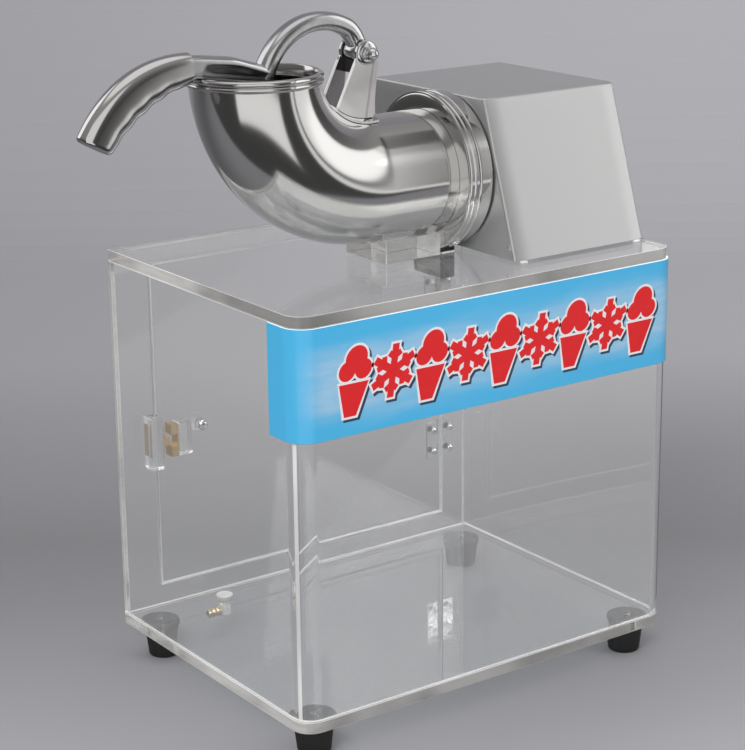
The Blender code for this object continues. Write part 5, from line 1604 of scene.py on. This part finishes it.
    def add_nut(self) -> None:
        """Make the acorn nut: six flats, a groove and a round dome."""
        low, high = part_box("pivot_nut")
        seat, tip = high.y, low.y
        hexagon = [polar(60 * i, self.nut_radius, (PLACES.pivot_x, PLACES.pivot_z))
                   for i in range(6)]
        nut = soften(prism("nut_acorn", hexagon, Axis.Y, seat - self.nut_flats, seat), 0.0004)
        base = seat - self.nut_flats + 0.0004
        profile = [(base, 0.0), (base, self.dome_radius)]
        for angle in range(0, 90, 10):
            out, up = polar(angle)
            profile.append((base - 0.0010 - (base - 0.0010 - tip) * up, self.dome_radius * out))
        profile.append((tip, 0.0))
        combine(nut, self.on_pivot("dome", profile, 48), 'UNION')
        thread = rod(seat + 0.001, seat - self.nut_depth, PLACES.pivot_bore)
        combine(nut, self.on_pivot("thread", thread, 32))
        fit(smooth(nut, 32.0), BRIGHT, Body.MACHINE, "pivot_nut")


@dataclass
class Drum:
    """The blade drum, its band, the chute and the cutter inside."""

    radius: float = 0.0672
    neck: float = 0.058
    neck_length: float = 0.0055
    mouth: float = 0.0543
    wall: float = 0.003
    shaft_hole: float = 0.0064
    outlet_top: float = 0.032
    chute_wall: float = 0.002
    band: float = 0.0132
    band_sheet: float = 0.0013
    bead: float = 0.0012
    bolt_turn: float = -55.0
    nut_radius: float = 0.011
    nut_bore: float = 0.0063
    nut_depth: float = 0.0088

    def build(self) -> None:
        """Make the drum, the band and its bolt, the chute and the cutter."""
        self.add_drum()
        self.add_band()
        fit_soft("ice_chute", "chute_black", 0.0004, PLASTIC)
        fit_soft("cutter_disc", "cutter_ground", 0.0003, SATIN, Body.CUTTER)
        for number in (1, 2, 3):
            fit_soft(f"blade_{number}", f"blade_{number}_ground", 0.0003, BRIGHT, Body.CUTTER)
        self.add_nut()

    def turn(self, name: str, profile: Sequence[Point2], sides: int = 128,
             closed: bool = True) -> Piece:
        """Turn a piece about the drum's axis, with its distances counted as X."""
        centre = (0.0, PLACES.hopper_y, PLACES.axis_z)
        return lathe(name, profile, centre, Axis.X, sides, closed)

    def add_drum(self) -> None:
        """Turn the drum with rounded shoulders and cut its outlet."""
        low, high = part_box("drum_housing")
        start, end, last, radius = low.x, high.x - self.neck_length, high.x, self.radius
        inside, neck, hole, face = radius - self.wall, self.neck, self.shaft_hole, start + 0.0015
        profile = [(start, self.mouth), (start, radius - 0.0012), (start + 0.0004, radius),
                   (end - 0.0012, radius), (end - 0.0003, radius - 0.0006),
                   (end, radius - 0.0018), (end, neck + 0.0006), (end + 0.0006, neck),
                   (last, neck), (last, hole), (end - 0.004, hole), (end - 0.004, inside),
                   (face, inside), (face, self.mouth)]
        drum = self.cut_outlet(self.turn("drum_turned", profile))
        fit(smooth(drum, 28.0), POLISHED, Body.MACHINE, "drum_housing")

    def cut_outlet(self, piece: Piece) -> Piece:
        """Cut the ice outlet through a piece of the drum."""
        low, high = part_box("ice_chute")
        wall, floor = self.chute_wall, PLACES.axis_z - self.radius - OVERCUT
        outlet = block("outlet", (low.x + wall, low.y + wall, floor),
                       (high.x - wall, high.y - wall, PLACES.axis_z - self.outlet_top))
        return combine(piece, outlet)

    def add_band(self) -> None:
        """Turn the band with its raised edges, and add the bolt that pulls it tight."""
        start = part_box("band_clamp")[0].x
        width, base = self.band, self.radius + GAP
        flat, edge = base + 0.0007, base + self.band_sheet + 0.0006
        middle, inset = 0.5 * width, 1.2 * self.bead
        profile = [(start, base), (start, edge - 0.0008)]
        for place, crest in ((inset, edge), (middle, edge - 0.0004), (width - inset, edge)):
            for share in (-1.0, -0.7, -0.35, 0.0, 0.35, 0.7, 1.0):
                profile.append((start + place + self.bead * share,
                                flat + (crest - flat) * math.cos(0.5 * math.pi * share)))
        profile += [(start + width, edge - 0.0008), (start + width, base)]
        band = self.cut_outlet(self.turn("band_rolled", profile))
        fit(smooth(band, 40.0), POLISHED, Body.MACHINE, "band_clamp")
        across, up = polar(self.bolt_turn)
        out = Vector((0.0, -across, up))
        foot = Vector((start + middle, PLACES.hopper_y, PLACES.axis_z)) + out * flat
        profile = [(-0.001, 0.0), (-0.001, 0.0042), (0.0022, 0.0042), (0.0030, 0.0036),
                   (0.0032, 0.0022), (0.0026, 0.0018), (0.0026, 0.0)]
        fit(smooth(lathe("band_bolt", profile, foot, out, 32)), BRIGHT, Body.MACHINE)

    def add_nut(self) -> None:
        """Turn the rounded nut that holds the cutter on its shaft."""
        low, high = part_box("hub_nut")
        start, end, radius, bore = low.x, high.x, self.nut_radius, self.nut_bore
        depth = end - self.nut_depth
        profile = [(start, 0.0), (start, 0.35 * radius), (start + 0.0004, 0.48 * radius),
                   (start + 0.004, 0.96 * radius), (start + 0.0050, radius), (end, radius),
                   (end, bore), (depth, bore), (depth, 0.0)]
        nut = self.turn("hub_nut_turned", profile, 64, closed=False)
        fit(smooth(nut, 30.0), BRIGHT, Body.CUTTER, "hub_nut")


@dataclass
class Lever:
    """The cast lever: arch, arm and curved limb, with its grip and pusher plate."""

    arch_x: float = -0.0405
    arch_z: float = -0.0278
    arch_middle: float = 0.0566
    arch_half: float = 0.0077
    arch_steps: int = 72
    arch_draw: float = 0.0068
    limb_middle: float = 0.10102
    limb_half: float = 0.0074
    limb_steps: int = 30
    half_width: float = 0.0090
    power: float = 2.9
    sides: int = 48
    hub_radius: float = 0.0100
    sweep: float = 62.0
    arm_end: float = -0.2120
    arm_root: float = -0.1405
    arm_steps: int = 60
    arm_top: tuple[Point2, ...] = ((-0.2125, 0.0117), (-0.2033, 0.0115), (-0.1714, 0.0075),
                                   (-0.1441, -0.0010), (-0.1300, -0.0080))
    arm_low: tuple[Point2, ...] = ((-0.2125, 0.0), (-0.2010, 0.0), (-0.1964, -0.0015),
                                   (-0.1690, -0.0060), (-0.1496, -0.0087), (-0.1300, -0.0095))
    arm_crown: float = 0.0052
    arm_power: float = 2.6
    arm_toe: float = 0.0022
    scoop: float = 0.0018
    scoop_path: tuple[Point2, ...] = ((-0.2045, 0.0), (-0.1880, 1.0), (-0.1640, 1.0),
                                      (-0.1440, 0.2))
    tang_length: float = 0.024
    tang_half: Point2 = (0.0045, 0.004)
    grip_bend: Point2 = (-0.0575, 0.0)
    grip_tip: Point2 = (-0.0863, -0.0518)
    grip_depth: Point2 = (0.0240, 0.0060)
    grip_half: float = 0.0105
    grip_flat: float = 0.18
    grip_round: float = 2.3
    grip_square: float = 5.0
    grip_swell: float = 0.0060
    grip_cap: float = 0.0034
    groove: float = 0.0012
    groove_start: float = 0.12
    groove_share: float = 0.83
    grooves: int = 4
    grip_steps: int = 96
    grip_sides: int = 64
    pusher_middle: float = 0.1089
    pusher_radius: float = 0.046
    pusher_plate: float = 0.004
    pusher_rings: tuple[float, ...] = (0.036, 0.028, 0.020)
    screw_bore: float = 0.0034
    screw_stem: float = 0.003
    screw_head: float = 0.006
    screw_depth: float = 0.012

    def build(self) -> None:
        """Make the lever, the grip, the pusher plate and its screw."""
        self.add_casting()
        self.add_grip()
        self.add_pusher()

    def bar_ring(self, centre: Vector, degrees: float, reach: float, half: float) -> list[Vector]:
        """Return the bar's section at an angle and a distance from a centre."""
        out = upright(degrees)
        return super_ring(centre + out * reach, out, half, Vector(Axis.Y.value),
                          self.half_width, self.power, self.sides)

    def bar(self) -> Piece:
        """Sweep the arch and the limb as one rounded bar."""
        pivot = PLACES.pivot()
        arch = pivot + Vector((self.arch_x, 0.0, self.arch_z))
        rings = []
        for step in range(self.arch_steps + 1):
            degrees = 30.0 + 150.0 * step / self.arch_steps
            reach = self.arch_middle - self.arch_draw * ease((62.0 - degrees) / 30.0)
            rings.append(self.bar_ring(arch, degrees, reach, self.arch_half))
        first = 180 + math.degrees(math.atan2(-self.arch_z, self.arch_middle - self.arch_x))
        for step in range(1, self.limb_steps + 1):
            share = step / self.limb_steps
            half = self.arch_half + (self.limb_half - self.arch_half) * share
            degrees = first + (180 + self.sweep - first) * share
            rings.append(self.bar_ring(pivot, degrees, self.limb_middle, half))
        return loft("lever_cast", rings)

    def arm(self) -> Piece:
        """Loft the arm from the arch to the grip, hollowed along its sides."""
        rest = PLACES.rim_top() + GAP
        rings = []
        for step in range(self.arm_steps + 1):
            x = self.arm_end + (self.arm_root - self.arm_end) * step / self.arm_steps
            high = PLACES.pivot_z + rounded_path(self.arm_top, x)
            floor = rest + rounded_path(self.arm_low, x)
            deep = self.scoop * straight_path(self.scoop_path, x, ease)
            rings.append(self.arm_ring(x, high, floor, deep))
        return loft("arm", rings)

    def arm_ring(self, x: float, high: float, floor: float, deep: float) -> list[Vector]:
        """Return one section of the arm.

        Args:
            x: Where the section stands.
            high: Its top.
            floor: Its underside.
            deep: How far its sides are hollowed.

        Returns:
            The section's points.
        """
        half, toe, shoulder = self.half_width, self.arm_toe, high - self.arm_crown
        right = [(0.0, high)]
        for i in range(1, 13):
            out, up = polar(90 - 90 * i / 12)
            right.append((half * bulge(out, self.arm_power),
                          shoulder + self.arm_crown * bulge(max(0.0, up), self.arm_power)))
        base = floor + toe
        for i in range(1, 17):
            hollow = math.sin(math.pi * min(1.0, 1.35 * i / 16) / 2) ** 2
            right.append((half - deep * hollow, shoulder - (shoulder - base) * i / 16))
        for i in range(1, 7):
            out, up = polar(90 * i / 6, toe)
            right.append((half - deep - toe + out, base - up))
        right.append((0.0, floor))
        outline = right + [(-u, v) for u, v in right[-2:0:-1]]
        return [Vector((x, PLACES.hopper_y + u, v)) for u, v in outline]

    def add_casting(self) -> None:
        """Join the bar, the arm, the hub and the tang, and bore the casting."""
        half, pivot, hub = self.half_width, PLACES.pivot(), self.hub_radius
        casting = combine(self.bar(), self.arm(), 'UNION')
        profile = [(-half, 0.0), (-half, hub - 0.0024), (-half + 0.0007, hub - 0.0007),
                   (-half + 0.0024, hub), (half - 0.0024, hub), (half - 0.0007, hub - 0.0007),
                   (half, hub - 0.0024), (half, 0.0)]
        combine(casting, lathe("hub", profile, pivot, Axis.Y, 64), 'UNION')
        y, z, (wide, tall) = PLACES.hopper_y, self.tang_z(), self.tang_half
        tang = block("tang", (self.arm_end - self.tang_length, y - wide, z - tall),
                     (self.arm_end + 0.006, y + wide, z + tall))
        combine(casting, tang, 'UNION')
        reach = half + OVERCUT
        drill(casting, pivot, Axis.Y, (-reach, reach), PLACES.pivot_bore, 32)
        foot, along = self.screw_place()
        drill(casting, foot, along, (-self.screw_depth - GAP, 0.004), self.screw_bore, 24)
        fit(smooth(outward(casting), 38.0), CASTING, Body.LEVER, "lever_arm")

    def tang_z(self) -> float:
        """Return the height of the tang that the grip is pressed on."""
        return (PLACES.pivot_z + self.arm_top[0][1] + PLACES.rim_top()) / 2

    def screw_place(self) -> tuple[Vector, Vector]:
        """Return where the pusher's screw enters the limb's end, and its direction."""
        out = upright(180 + self.sweep)
        return PLACES.pivot() + out * self.limb_middle, upright(270 + self.sweep)

    def add_grip(self) -> None:
        """Loft the bent grip with its finger grooves and a rounded end."""
        start = Vector((self.arm_end - GAP, self.tang_z()))
        bend, tip = start + Vector(self.grip_bend), start + Vector(self.grip_tip)
        rings = [self.grip_ring(start, bend, tip, step / self.grip_steps, 1.0)
                 for step in range(self.grip_steps + 1)]
        course = (tip - bend).normalized() * self.grip_cap
        for share, scale in ((0.35, 0.985), (0.7, 0.93), (0.92, 0.85), (1.0, 0.72)):
            move = Vector((course.x, 0.0, course.y)) * share
            rings.append([point + move for point in self.grip_ring(start, bend, tip, 1.0, scale)])
        y, z, (wide, tall) = PLACES.hopper_y, start.y, self.tang_half
        wide, tall = wide + GAP, tall + GAP
        socket = block("socket", (self.arm_end - self.tang_length - GAP, y - wide, z - tall),
                       (self.arm_end + OVERCUT, y + wide, z + tall))
        grip = combine(loft("grip_shaped", rings), socket)
        fit(smooth(grip, 45.0), POLISHED, Body.LEVER, "lever_grip", slot=Slot.LEVER)

    def grip_ring(self, start: Vector, bend: Vector, tip: Vector, t: float,
                  scale: float) -> list[Vector]:
        """Return one section of the grip.

        Args:
            start: Where its middle line starts, in x and z.
            bend: The point the line bends towards.
            tip: Where the line ends.
            t: The section's share along the line.
            scale: Size beside the plain section.

        Returns:
            The section's points.
        """
        middle = start * (1 - t) ** 2 + bend * 2 * t * (1 - t) + tip * t ** 2
        course = ((bend - start) * (1 - t) + (tip - bend) * t).normalized()
        normal = Vector((0.0, 1.0)) if t < 1e-6 else Vector((course.y, -course.x))
        half = scale * (self.grip_depth[0] + self.grip_depth[1] * t) / 2
        share = (t - self.groove_start) / self.groove_share
        wave = 1 - math.cos(math.tau * self.grooves * share) if 0 < share < 1 else 0.0
        swell = self.grip_swell * math.sin(math.pi * t) ** 0.8 if 0 < t < 1 else 0.0
        ring = []
        for i in range(self.grip_sides):
            c, s = polar(360.0 * i / self.grip_sides)
            above = s >= 0
            power = self.grip_round if above else self.grip_square
            room = 1 - self.grip_flat if above else 1 + self.grip_flat
            up = self.grip_flat + room * bulge(s, power)
            height = half * up
            if up < 0:
                height += (swell - 0.5 * self.groove * wave) * up
            place = middle + normal * height
            side = scale * self.grip_half * bulge(c, power)
            ring.append(Vector((place.x, PLACES.hopper_y + side, place.y)))
        return ring

    def add_pusher(self) -> None:
        """Turn the pusher plate with its rings, and the screw that holds it."""
        foot, along = self.screw_place()
        middle = PLACES.pivot() + upright(180 + self.sweep) * self.pusher_middle
        back, front, radius = GAP, GAP + self.pusher_plate, self.pusher_radius
        profile = [(back, 0.0), (back, radius - 0.0004), (back + 0.0004, radius),
                   (front - 0.0014, radius), (front - 0.0004, radius - 0.0004),
                   (front, radius - 0.0014)]
        for ring in self.pusher_rings:
            profile += [(front, ring + 0.0012), (front - 0.0006, ring), (front, ring - 0.0012)]
        profile.append((front, 0.0))
        plate = lathe("pusher_turned", profile, middle, along, 96)
        drill(plate, foot, along, (-0.002, 0.008), self.screw_bore, 24)
        fit(smooth(plate, 30.0), CASTING, Body.LEVER, "pusher_plate")
        seat, end, wide = front + GAP, -self.screw_depth, self.screw_head
        profile = [(end, 0.0), (end, self.screw_stem), (seat, self.screw_stem), (seat, wide),
                   (seat + 0.0009, wide), (seat + 0.0016, wide - 0.0008),
                   (seat + 0.0020, wide - 0.0024), (seat + 0.0020, 0.0)]
        screw = lathe("pusher_screw_head", profile, foot, along, 32)
        fit(smooth(screw, 35.0), BRIGHT, Body.LEVER, "pusher_screw")


@dataclass
class MotorCover:
    """The folded cover over the motor, its back plate, switch and inlet."""

    left: float = 0.047
    right: float = 0.194
    bottom: float = 0.3586
    top: float = 0.4925
    front_bottom: float = -0.1165
    front_top: float = -0.0725
    back: float = 0.0865
    sheet: float = 0.0012
    corner: float = 0.0028
    roll: float = 0.0020
    crown: float = 0.0011
    crown_reach: float = 0.0150
    neck_hole: float = 0.0592
    side_screw_y: float = -0.1075
    side_screw_rise: float = 0.0105
    side_screw_step: float = 0.178
    back_screw_inset: float = 0.0085
    louvres: int = 7
    louvre_half: float = 0.024
    louvre_pitch: float = 0.0110
    louvre_rise: float = 0.040
    louvre_middle: float = 0.048

    def build(self) -> None:
        """Make the cover, its back plate, its screws and the controls."""
        self.add_shell()
        self.add_side_screws()
        fit_soft("cover_back", "cover_back_plate", 0.0003, COVER)
        self.add_louvres()
        self.add_back_screws()
        for node, body, width in (("switch_housing", Body.MACHINE, 0.0005),
                                  ("switch_rocker", Body.ROCKER, 0.0004),
                                  ("power_inlet", Body.MACHINE, 0.0005)):
            fit_soft(node, f"{node}_moulded", width, PLASTIC, body)

    def ring(self, height: float, inset: float) -> list[Vector]:
        """Return the cover's line at a height, from its back left round to its back right.

        Args:
            height: The height that the front face is read at, and the line's own.
            inset: How far the line lies inside the plain walls.

        Returns:
            The line's points.
        """
        left, right, bend = self.left + inset, self.right - inset, self.corner
        share = (height - self.bottom) / (self.top - self.bottom)
        front = self.front_bottom + (self.front_top - self.front_bottom) * share + inset
        turned = front + self.crown + bend
        side = [self.back + (front + bend - self.back) * i / 6 for i in range(6)]
        corner = [polar(angle, bend) for angle in range(0, 84, 12)]
        points = [(left, y) for y in side]
        points += [(left + bend - across, turned - ahead) for across, ahead in corner]
        span = right - left - 2 * bend
        for i in range(49):
            x = left + bend + span * i / 48
            edge = min(x - left - bend, right - bend - x)
            near = max(0.0, 1.0 - edge / self.crown_reach)
            points.append((x, front + self.crown * near * near))
        points += [(right - bend + across, turned - ahead) for across, ahead in corner[::-1]]
        points += [(right, y) for y in side[::-1]]
        return [Vector((x, y, height)) for x, y in points]

    def add_shell(self) -> None:
        """Fold the shell, give it its sheet and cut the hole for the drum's neck."""
        roll, edge = self.roll, self.top - self.roll
        heights = [(self.bottom, 0.0), (self.bottom + 0.0030, 0.0)]
        heights += [(self.bottom + (edge - self.bottom) * i / 14, 0.0) for i in range(1, 15)]
        for angle in (18, 36, 54, 72, 90):
            out, up = polar(angle, roll)
            heights.append((edge + up, roll - out))
        rings = [self.ring(height, inset) for height, inset in heights]
        count = len(rings[0])
        faces = []
        for row in range(len(rings) - 1):
            for i in range(count - 1):
                a, b = row * count + i, (row + 1) * count + i
                faces.append((a, a + 1, b + 1, b))
        faces.append(tuple(range((len(rings) - 1) * count, len(rings) * count)))
        shell = mesh_object("cover_folded", [point for ring in rings for point in ring], faces)
        reshape(shell, lambda shape: bmesh.ops.recalc_face_normals(shape, faces=shape.faces))
        if shell.data.polygons[-1].normal.z < 0:
            turn_over(shell)
        thicken(shell, self.sheet)
        drill(shell, (0.0, PLACES.hopper_y, PLACES.axis_z), Axis.X,
              (self.left - OVERCUT, self.left + OVERCUT), self.neck_hole, 96)
        fit(smooth(shell, 40.0), COVER, Body.MACHINE, "cover_shell")

    def add_side_screws(self) -> None:
        """Set two screws out along the foot of each side."""
        z = self.bottom + self.side_screw_rise
        for side, facing, x in (("left", Axis.MINUS_X, self.left), ("right", Axis.X, self.right)):
            screws = ScrewPattern(0.0026, 0.0013).row(
                f"cover_screws_{side}", BRIGHT, facing, (x, self.side_screw_y, z), (2, 1),
                ((0.0, self.side_screw_step, 0.0), (0.0, 0.0, 0.0)))
            fit(screws, BRIGHT, Body.MACHINE)

    def add_louvres(self) -> None:
        """Set the louvres' hoods out in a column on the back plate."""
        outline = ((0.0, -0.0022), (0.0026, -0.0016), (0.0030, -0.0008), (0.0004, 0.0034),
                   (0.0, 0.0036))
        hood = prism("hood", outline, Axis.X, -self.louvre_half, self.louvre_half)
        start = (self.left + self.louvre_middle, self.back + 0.0001,
                 self.bottom + self.louvre_rise)
        louvres = lattice("cover_louvres", hood, COVER, start, (1, self.louvres),
                          ((0.0, 0.0, 0.0), (0.0, 0.0, self.louvre_pitch)))
        fit(louvres, COVER, Body.MACHINE)

    def add_back_screws(self) -> None:
        """Set a screw in each corner of the back plate."""
        inset = self.back_screw_inset
        wide = self.right - self.left - 2 * inset
        tall = self.top - self.bottom - 2 * inset - self.roll
        screws = ScrewPattern(0.0028, 0.0014).row(
            "back_screws", BRIGHT, Axis.Y, (self.left + inset, self.back, self.bottom + inset),
            (2, 2), ((wide, 0.0, 0.0), (0.0, 0.0, tall)))
        fit(screws, BRIGHT, Body.MACHINE)


@dataclass(frozen=True)
class Softbox:
    """A patch of the room that polished metal reflects, in degrees and brightness."""

    turn: Point2
    rise: Point2
    level: float
    blur: float = 4.0
    edge: float | None = None


@dataclass(frozen=True)
class Lamp:
    """A soft lamp: its name, place, target, size and power."""

    name: str
    place: Point3
    target: Point3
    size: Point2
    power: float


@dataclass
class Studio:
    """A grey sweep, soft lamps, the room that the steel reflects, and the camera."""

    floor_z: float = -0.028
    camera_place: Point3 = (-1.0696, -1.4755, 0.7845)
    yaw: float = 0.6179
    pitch: float = 0.2905
    roll: float = -0.0119
    lens: float = 102.47
    sensor: float = 36.0
    wall_distance: float = 2.6
    wall_top: float = 3.4
    sweep_radius: float = 1.1
    sweep_half: float = 3.2
    apron_start: float = -3.6
    apron_edge: float = -0.46
    gap: Point2 = (0.5830, 0.6240)
    gap_rise: Point2 = (-11.5, 60.0)
    gap_level: float = 0.02
    # The paper's grey by distance ahead paints in the light's falloff: paler near the camera and
    # up the wall, with painted shade darkest just behind the machine.
    greys: tuple[Point2, ...] = ((-0.30, 0.345), (2.70, 0.452), (-0.19, 0.326), (-0.02, 0.273),
                                 (0.12, 0.231), (0.285, 0.203), (0.476, 0.236), (0.70, 0.274),
                                 (0.97, 0.336), (1.70, 0.429))
    room_low: float = 0.055
    room_high: float = 0.30
    room_level: float = 0.66
    backdrop: Colour = (0.36, 0.355, 0.37)
    softboxes: tuple[Softbox, ...] = (
        Softbox((108.0, 156.0), (-15.0, 46.0), 0.90, 1.6, 0.507),
        Softbox((110.0, 141.5), (-4.0, 38.0), 1.35, 6.0),
        Softbox((130.0, 136.0), (24.0, 33.0), 2.2, 3.0),
        Softbox((171.0, 246.0), (-29.0, -12.0), 0.90, 3.0),
        Softbox((180.0, 240.0), (-12.0, 40.0), 0.80, 6.0),
        Softbox((318.0, 352.0), (4.0, 46.0), 1.20),
        Softbox((-20.0, 380.0), (58.0, 110.0), 0.85, 9.0),
    )
    lamps: tuple[Lamp, ...] = (
        Lamp("key_softbox", (-1.9, -1.2, 2.3), (0.0, 0.0, 0.30), (1.5, 1.1), 50.0),
        Lamp("fill_softbox", (1.9, -1.9, 1.6), (0.05, 0.0, 0.25), (1.2, 1.6), 20.0),
        Lamp("top_softbox", (0.2, 0.6, 2.7), (0.0, 0.0, 0.2), (2.2, 1.4), 26.0),
    )

    def build(self) -> None:
        """Make the sweep, the lamps, the world and the camera."""
        self.add_camera()
        self.add_floor()
        self.add_world()
        for lamp in self.lamps:
            self.add_lamp(lamp)

    def ahead(self) -> Vector:
        """Return the level direction that the camera looks along."""
        return Vector((math.sin(self.yaw), math.cos(self.yaw), 0.0))

    def right(self) -> Vector:
        """Return the level direction to the camera's right."""
        return Vector((math.cos(self.yaw), -math.sin(self.yaw), 0.0))

    def add_camera(self) -> None:
        """Stand the camera where the photograph was taken from."""
        right = self.right()
        ahead = self.ahead() * math.cos(self.pitch) - Vector((0.0, 0.0, math.sin(self.pitch)))
        above = right.cross(ahead)
        level, lean = math.cos(self.roll), math.sin(self.roll)
        across, upward = level * right + lean * above, level * above - lean * right
        camera = bpy.data.objects.new("camera", bpy.data.cameras.new("camera"))
        turn = Matrix((across, upward, -ahead)).transposed().to_4x4()
        camera.matrix_world = Matrix.Translation(self.camera_place) @ turn
        camera.data.lens = self.lens
        camera.data.sensor_width = self.sensor
        camera.data.sensor_fit = 'HORIZONTAL'
        camera.data.clip_end = 50.0
        bpy.context.scene.collection.objects.link(camera)
        bpy.context.scene.camera = camera

    def strip(self, name: str, profile: Sequence[Point2],
              mirrored: float | None = None) -> Piece:
        """Make a wide strip of the stage.

        Args:
            name: The strip's name.
            profile: Pairs of distance ahead and height.
            mirrored: How bright its mirror image is, if it isn't the paper's own grey.

        Returns:
            The strip, put on the stage.
        """
        vertices = []
        for distance, height in profile:
            for side in (-self.sweep_half, self.sweep_half):
                vertices.append(self.ahead() * distance + self.right() * side
                                + Vector((0.0, 0.0, height)))
        faces = [(2 * i, 2 * i + 1, 2 * i + 3, 2 * i + 2) for i in range(len(profile) - 1)]
        piece = mesh_object(name, vertices, faces)
        piece.data.materials.append(self.paper(name, mirrored))
        return piece

    def add_floor(self) -> None:
        """Lay the sweep, and an apron before it that mirrors don't show."""
        foot = self.wall_distance - self.sweep_radius
        profile = [(self.apron_edge, self.floor_z), (foot, self.floor_z)]
        profile += arc((foot, self.floor_z + self.sweep_radius), self.sweep_radius, -90.0, 0.0,
                       24)[1:]
        profile.append((self.wall_distance, self.wall_top))
        self.strip("paper_sweep", profile)
        apron = self.strip("paper_apron", [(self.apron_start, self.floor_z),
                                           (self.apron_edge, self.floor_z)], self.room_low)
        apron.visible_glossy = False

    def paper(self, name: str, mirrored: float | None) -> bpy.types.Material:
        """Return the sweep's grey, with the light's falloff painted in: paler near the camera and
        up the wall.
        """
        made = bpy.data.materials.new(name)
        bench = clear_bench(made)
        place = bench.add("ShaderNodeTexCoord").outputs["Object"]
        depth, side = (bench.add("ShaderNodeVectorMath", {0: place, 1: way},
                                 operation='DOT_PRODUCT').outputs["Value"]
                       for way in (self.ahead(), self.right()))
        first, last = self.greys[0][0], self.greys[1][0]
        share = bench.maths("DIVIDE", bench.maths("SUBTRACT", depth, first), last - first)
        ramp = bench.add("ShaderNodeValToRGB", {0: share})
        stops = ramp.color_ramp.elements
        for number, (distance, level) in enumerate(self.greys):
            stop = stops[number] if number < 2 else stops.new(1.0)
            stop.position = (distance - first) / (last - first)
            stop.color = (level, 0.985 * level, 1.03 * level, 1.0)
        path = bench.add("ShaderNodeLightPath").outputs
        shown = bench.maths("SUBTRACT", path["Is Glossy Ray"], path["Is Transmission Ray"],
                            clamp=True)
        # Painted shade: far paper is darker in mirrors; painted light makes the paper paler
        # towards the right.
        painted_shade = bench.maths("MULTIPLY_ADD", shown, bench.band(depth, 1.0, 1.8, -0.45, -0.15), 1.0)
        gain = bench.maths("MULTIPLY", painted_shade, bench.band(side, -0.8, 0.8, 0.94, 1.12))
        grey = bench.add("ShaderNodeVectorMath", {0: ramp.outputs[0], "Scale": gain},
                         operation='SCALE').outputs[0]
        if mirrored is not None:
            bounced = bench.maths("GREATER_THAN", path["Glossy Depth"], 0.5)
            grey = bench.blend(bounced, grey, (mirrored,) * 3)
        shader = bench.surface({"Base Color": grey, "Roughness": 0.9, "Specular IOR Level": 0.1})
        bench.add("ShaderNodeOutputMaterial", {"Surface": shader})
        return made

    def room_glow(self, bench: NodeBench) -> Socket:
        """Return how bright the room is in each direction, with its softboxes and its gap."""
        axes = bench.axes(bench.add("ShaderNodeTexCoord").outputs["Generated"])
        to_degrees = 180.0 / math.pi
        turn = bench.maths("MULTIPLY", bench.maths("ARCTAN2", axes["X"], axes["Y"]), to_degrees)
        turn = bench.maths("WRAP", turn, 360.0, 0.0)
        rise = bench.maths("MULTIPLY", bench.maths("ARCSINE", axes["Z"]), to_degrees)
        glow = bench.band(rise, -10.0, 55.0, self.room_low, self.room_high)
        for box in self.softboxes:
            mask = bench.maths("MULTIPLY", bench.window(turn, box.turn, box.blur / 2),
                               bench.window(rise, box.rise, box.blur / 2))
            if box.edge is not None:
                side = bench.band(axes["X"], box.edge - 0.004, box.edge + 0.004)
                mask = bench.maths("MULTIPLY", mask, side)
            gain = bench.maths("SUBTRACT", box.level, glow)
            glow = bench.maths("MULTIPLY_ADD", mask, gain, glow)
        gap = bench.maths("MULTIPLY", bench.window(axes["X"], self.gap, 0.002),
                          bench.window(rise, self.gap_rise, 0.8))
        gap = bench.maths("MULTIPLY", gap, bench.maths("LESS_THAN", axes["Y"], 0.0))
        return bench.maths("MULTIPLY_ADD", gap, bench.maths("SUBTRACT", self.gap_level, glow),
                           glow)

    def add_world(self) -> None:
        """Fill the room with soft light, and give mirrors its softboxes to show."""
        world = bpy.data.worlds.new("studio")
        bench = clear_bench(world)
        room, mirror, backdrop = (
            bench.add("ShaderNodeBackground", {"Color": colour, "Strength": strength}).outputs[0]
            for colour, strength in (((0.80, 0.80, 0.82), self.room_level),
                                     ((1.0, 0.995, 0.99), self.room_glow(bench)),
                                     (self.backdrop, 1.0)))
        path = bench.add("ShaderNodeLightPath").outputs
        through = path["Is Transmission Ray"]
        bounced = bench.maths("GREATER_THAN", path["Glossy Depth"], 0.5)
        seen = bench.maths("SUBTRACT", bench.maths("MAXIMUM", path["Is Camera Ray"], through),
                           bounced, clamp=True)
        bright = bench.maths("MAXIMUM", path["Is Glossy Ray"],
                             bench.maths("MULTIPLY", bounced, through))
        whole = bench.mix(seen, bench.mix(bright, room, mirror), backdrop)
        bench.add("ShaderNodeOutputWorld", {"Surface": whole})
        bpy.context.scene.world = world

    def add_lamp(self, lamp: Lamp) -> None:
        """Hang a soft lamp that lights the machine, and that mirrors don't show."""
        light = bpy.data.lights.new(lamp.name, 'AREA')
        light.shape = 'RECTANGLE'
        light.size, light.size_y = lamp.size
        light.energy = lamp.power
        holder = bpy.data.objects.new(lamp.name, light)
        aim = Vector(lamp.target) - Vector(lamp.place)
        turn = aim.to_track_quat('-Z', 'Y').to_matrix().to_4x4()
        holder.matrix_world = Matrix.Translation(lamp.place) @ turn
        holder.visible_glossy = False
        bpy.context.scene.collection.objects.link(holder)


def main() -> None:
    """Load the part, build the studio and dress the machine."""
    logging.basicConfig(level=logging.INFO, format="%(name)s: %(message)s")
    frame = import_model()
    bpy.context.scene.view_settings.view_transform = 'Standard'
    Studio().build()
    dress_hidden(frame["nodes"])
    for assembly in (Cabinet(), Sign(), Door(), Standing(), Hopper(), Drum(), Lever(),
                     MotorCover()):
        assembly.build()


if __name__ == "__main__":
    main()
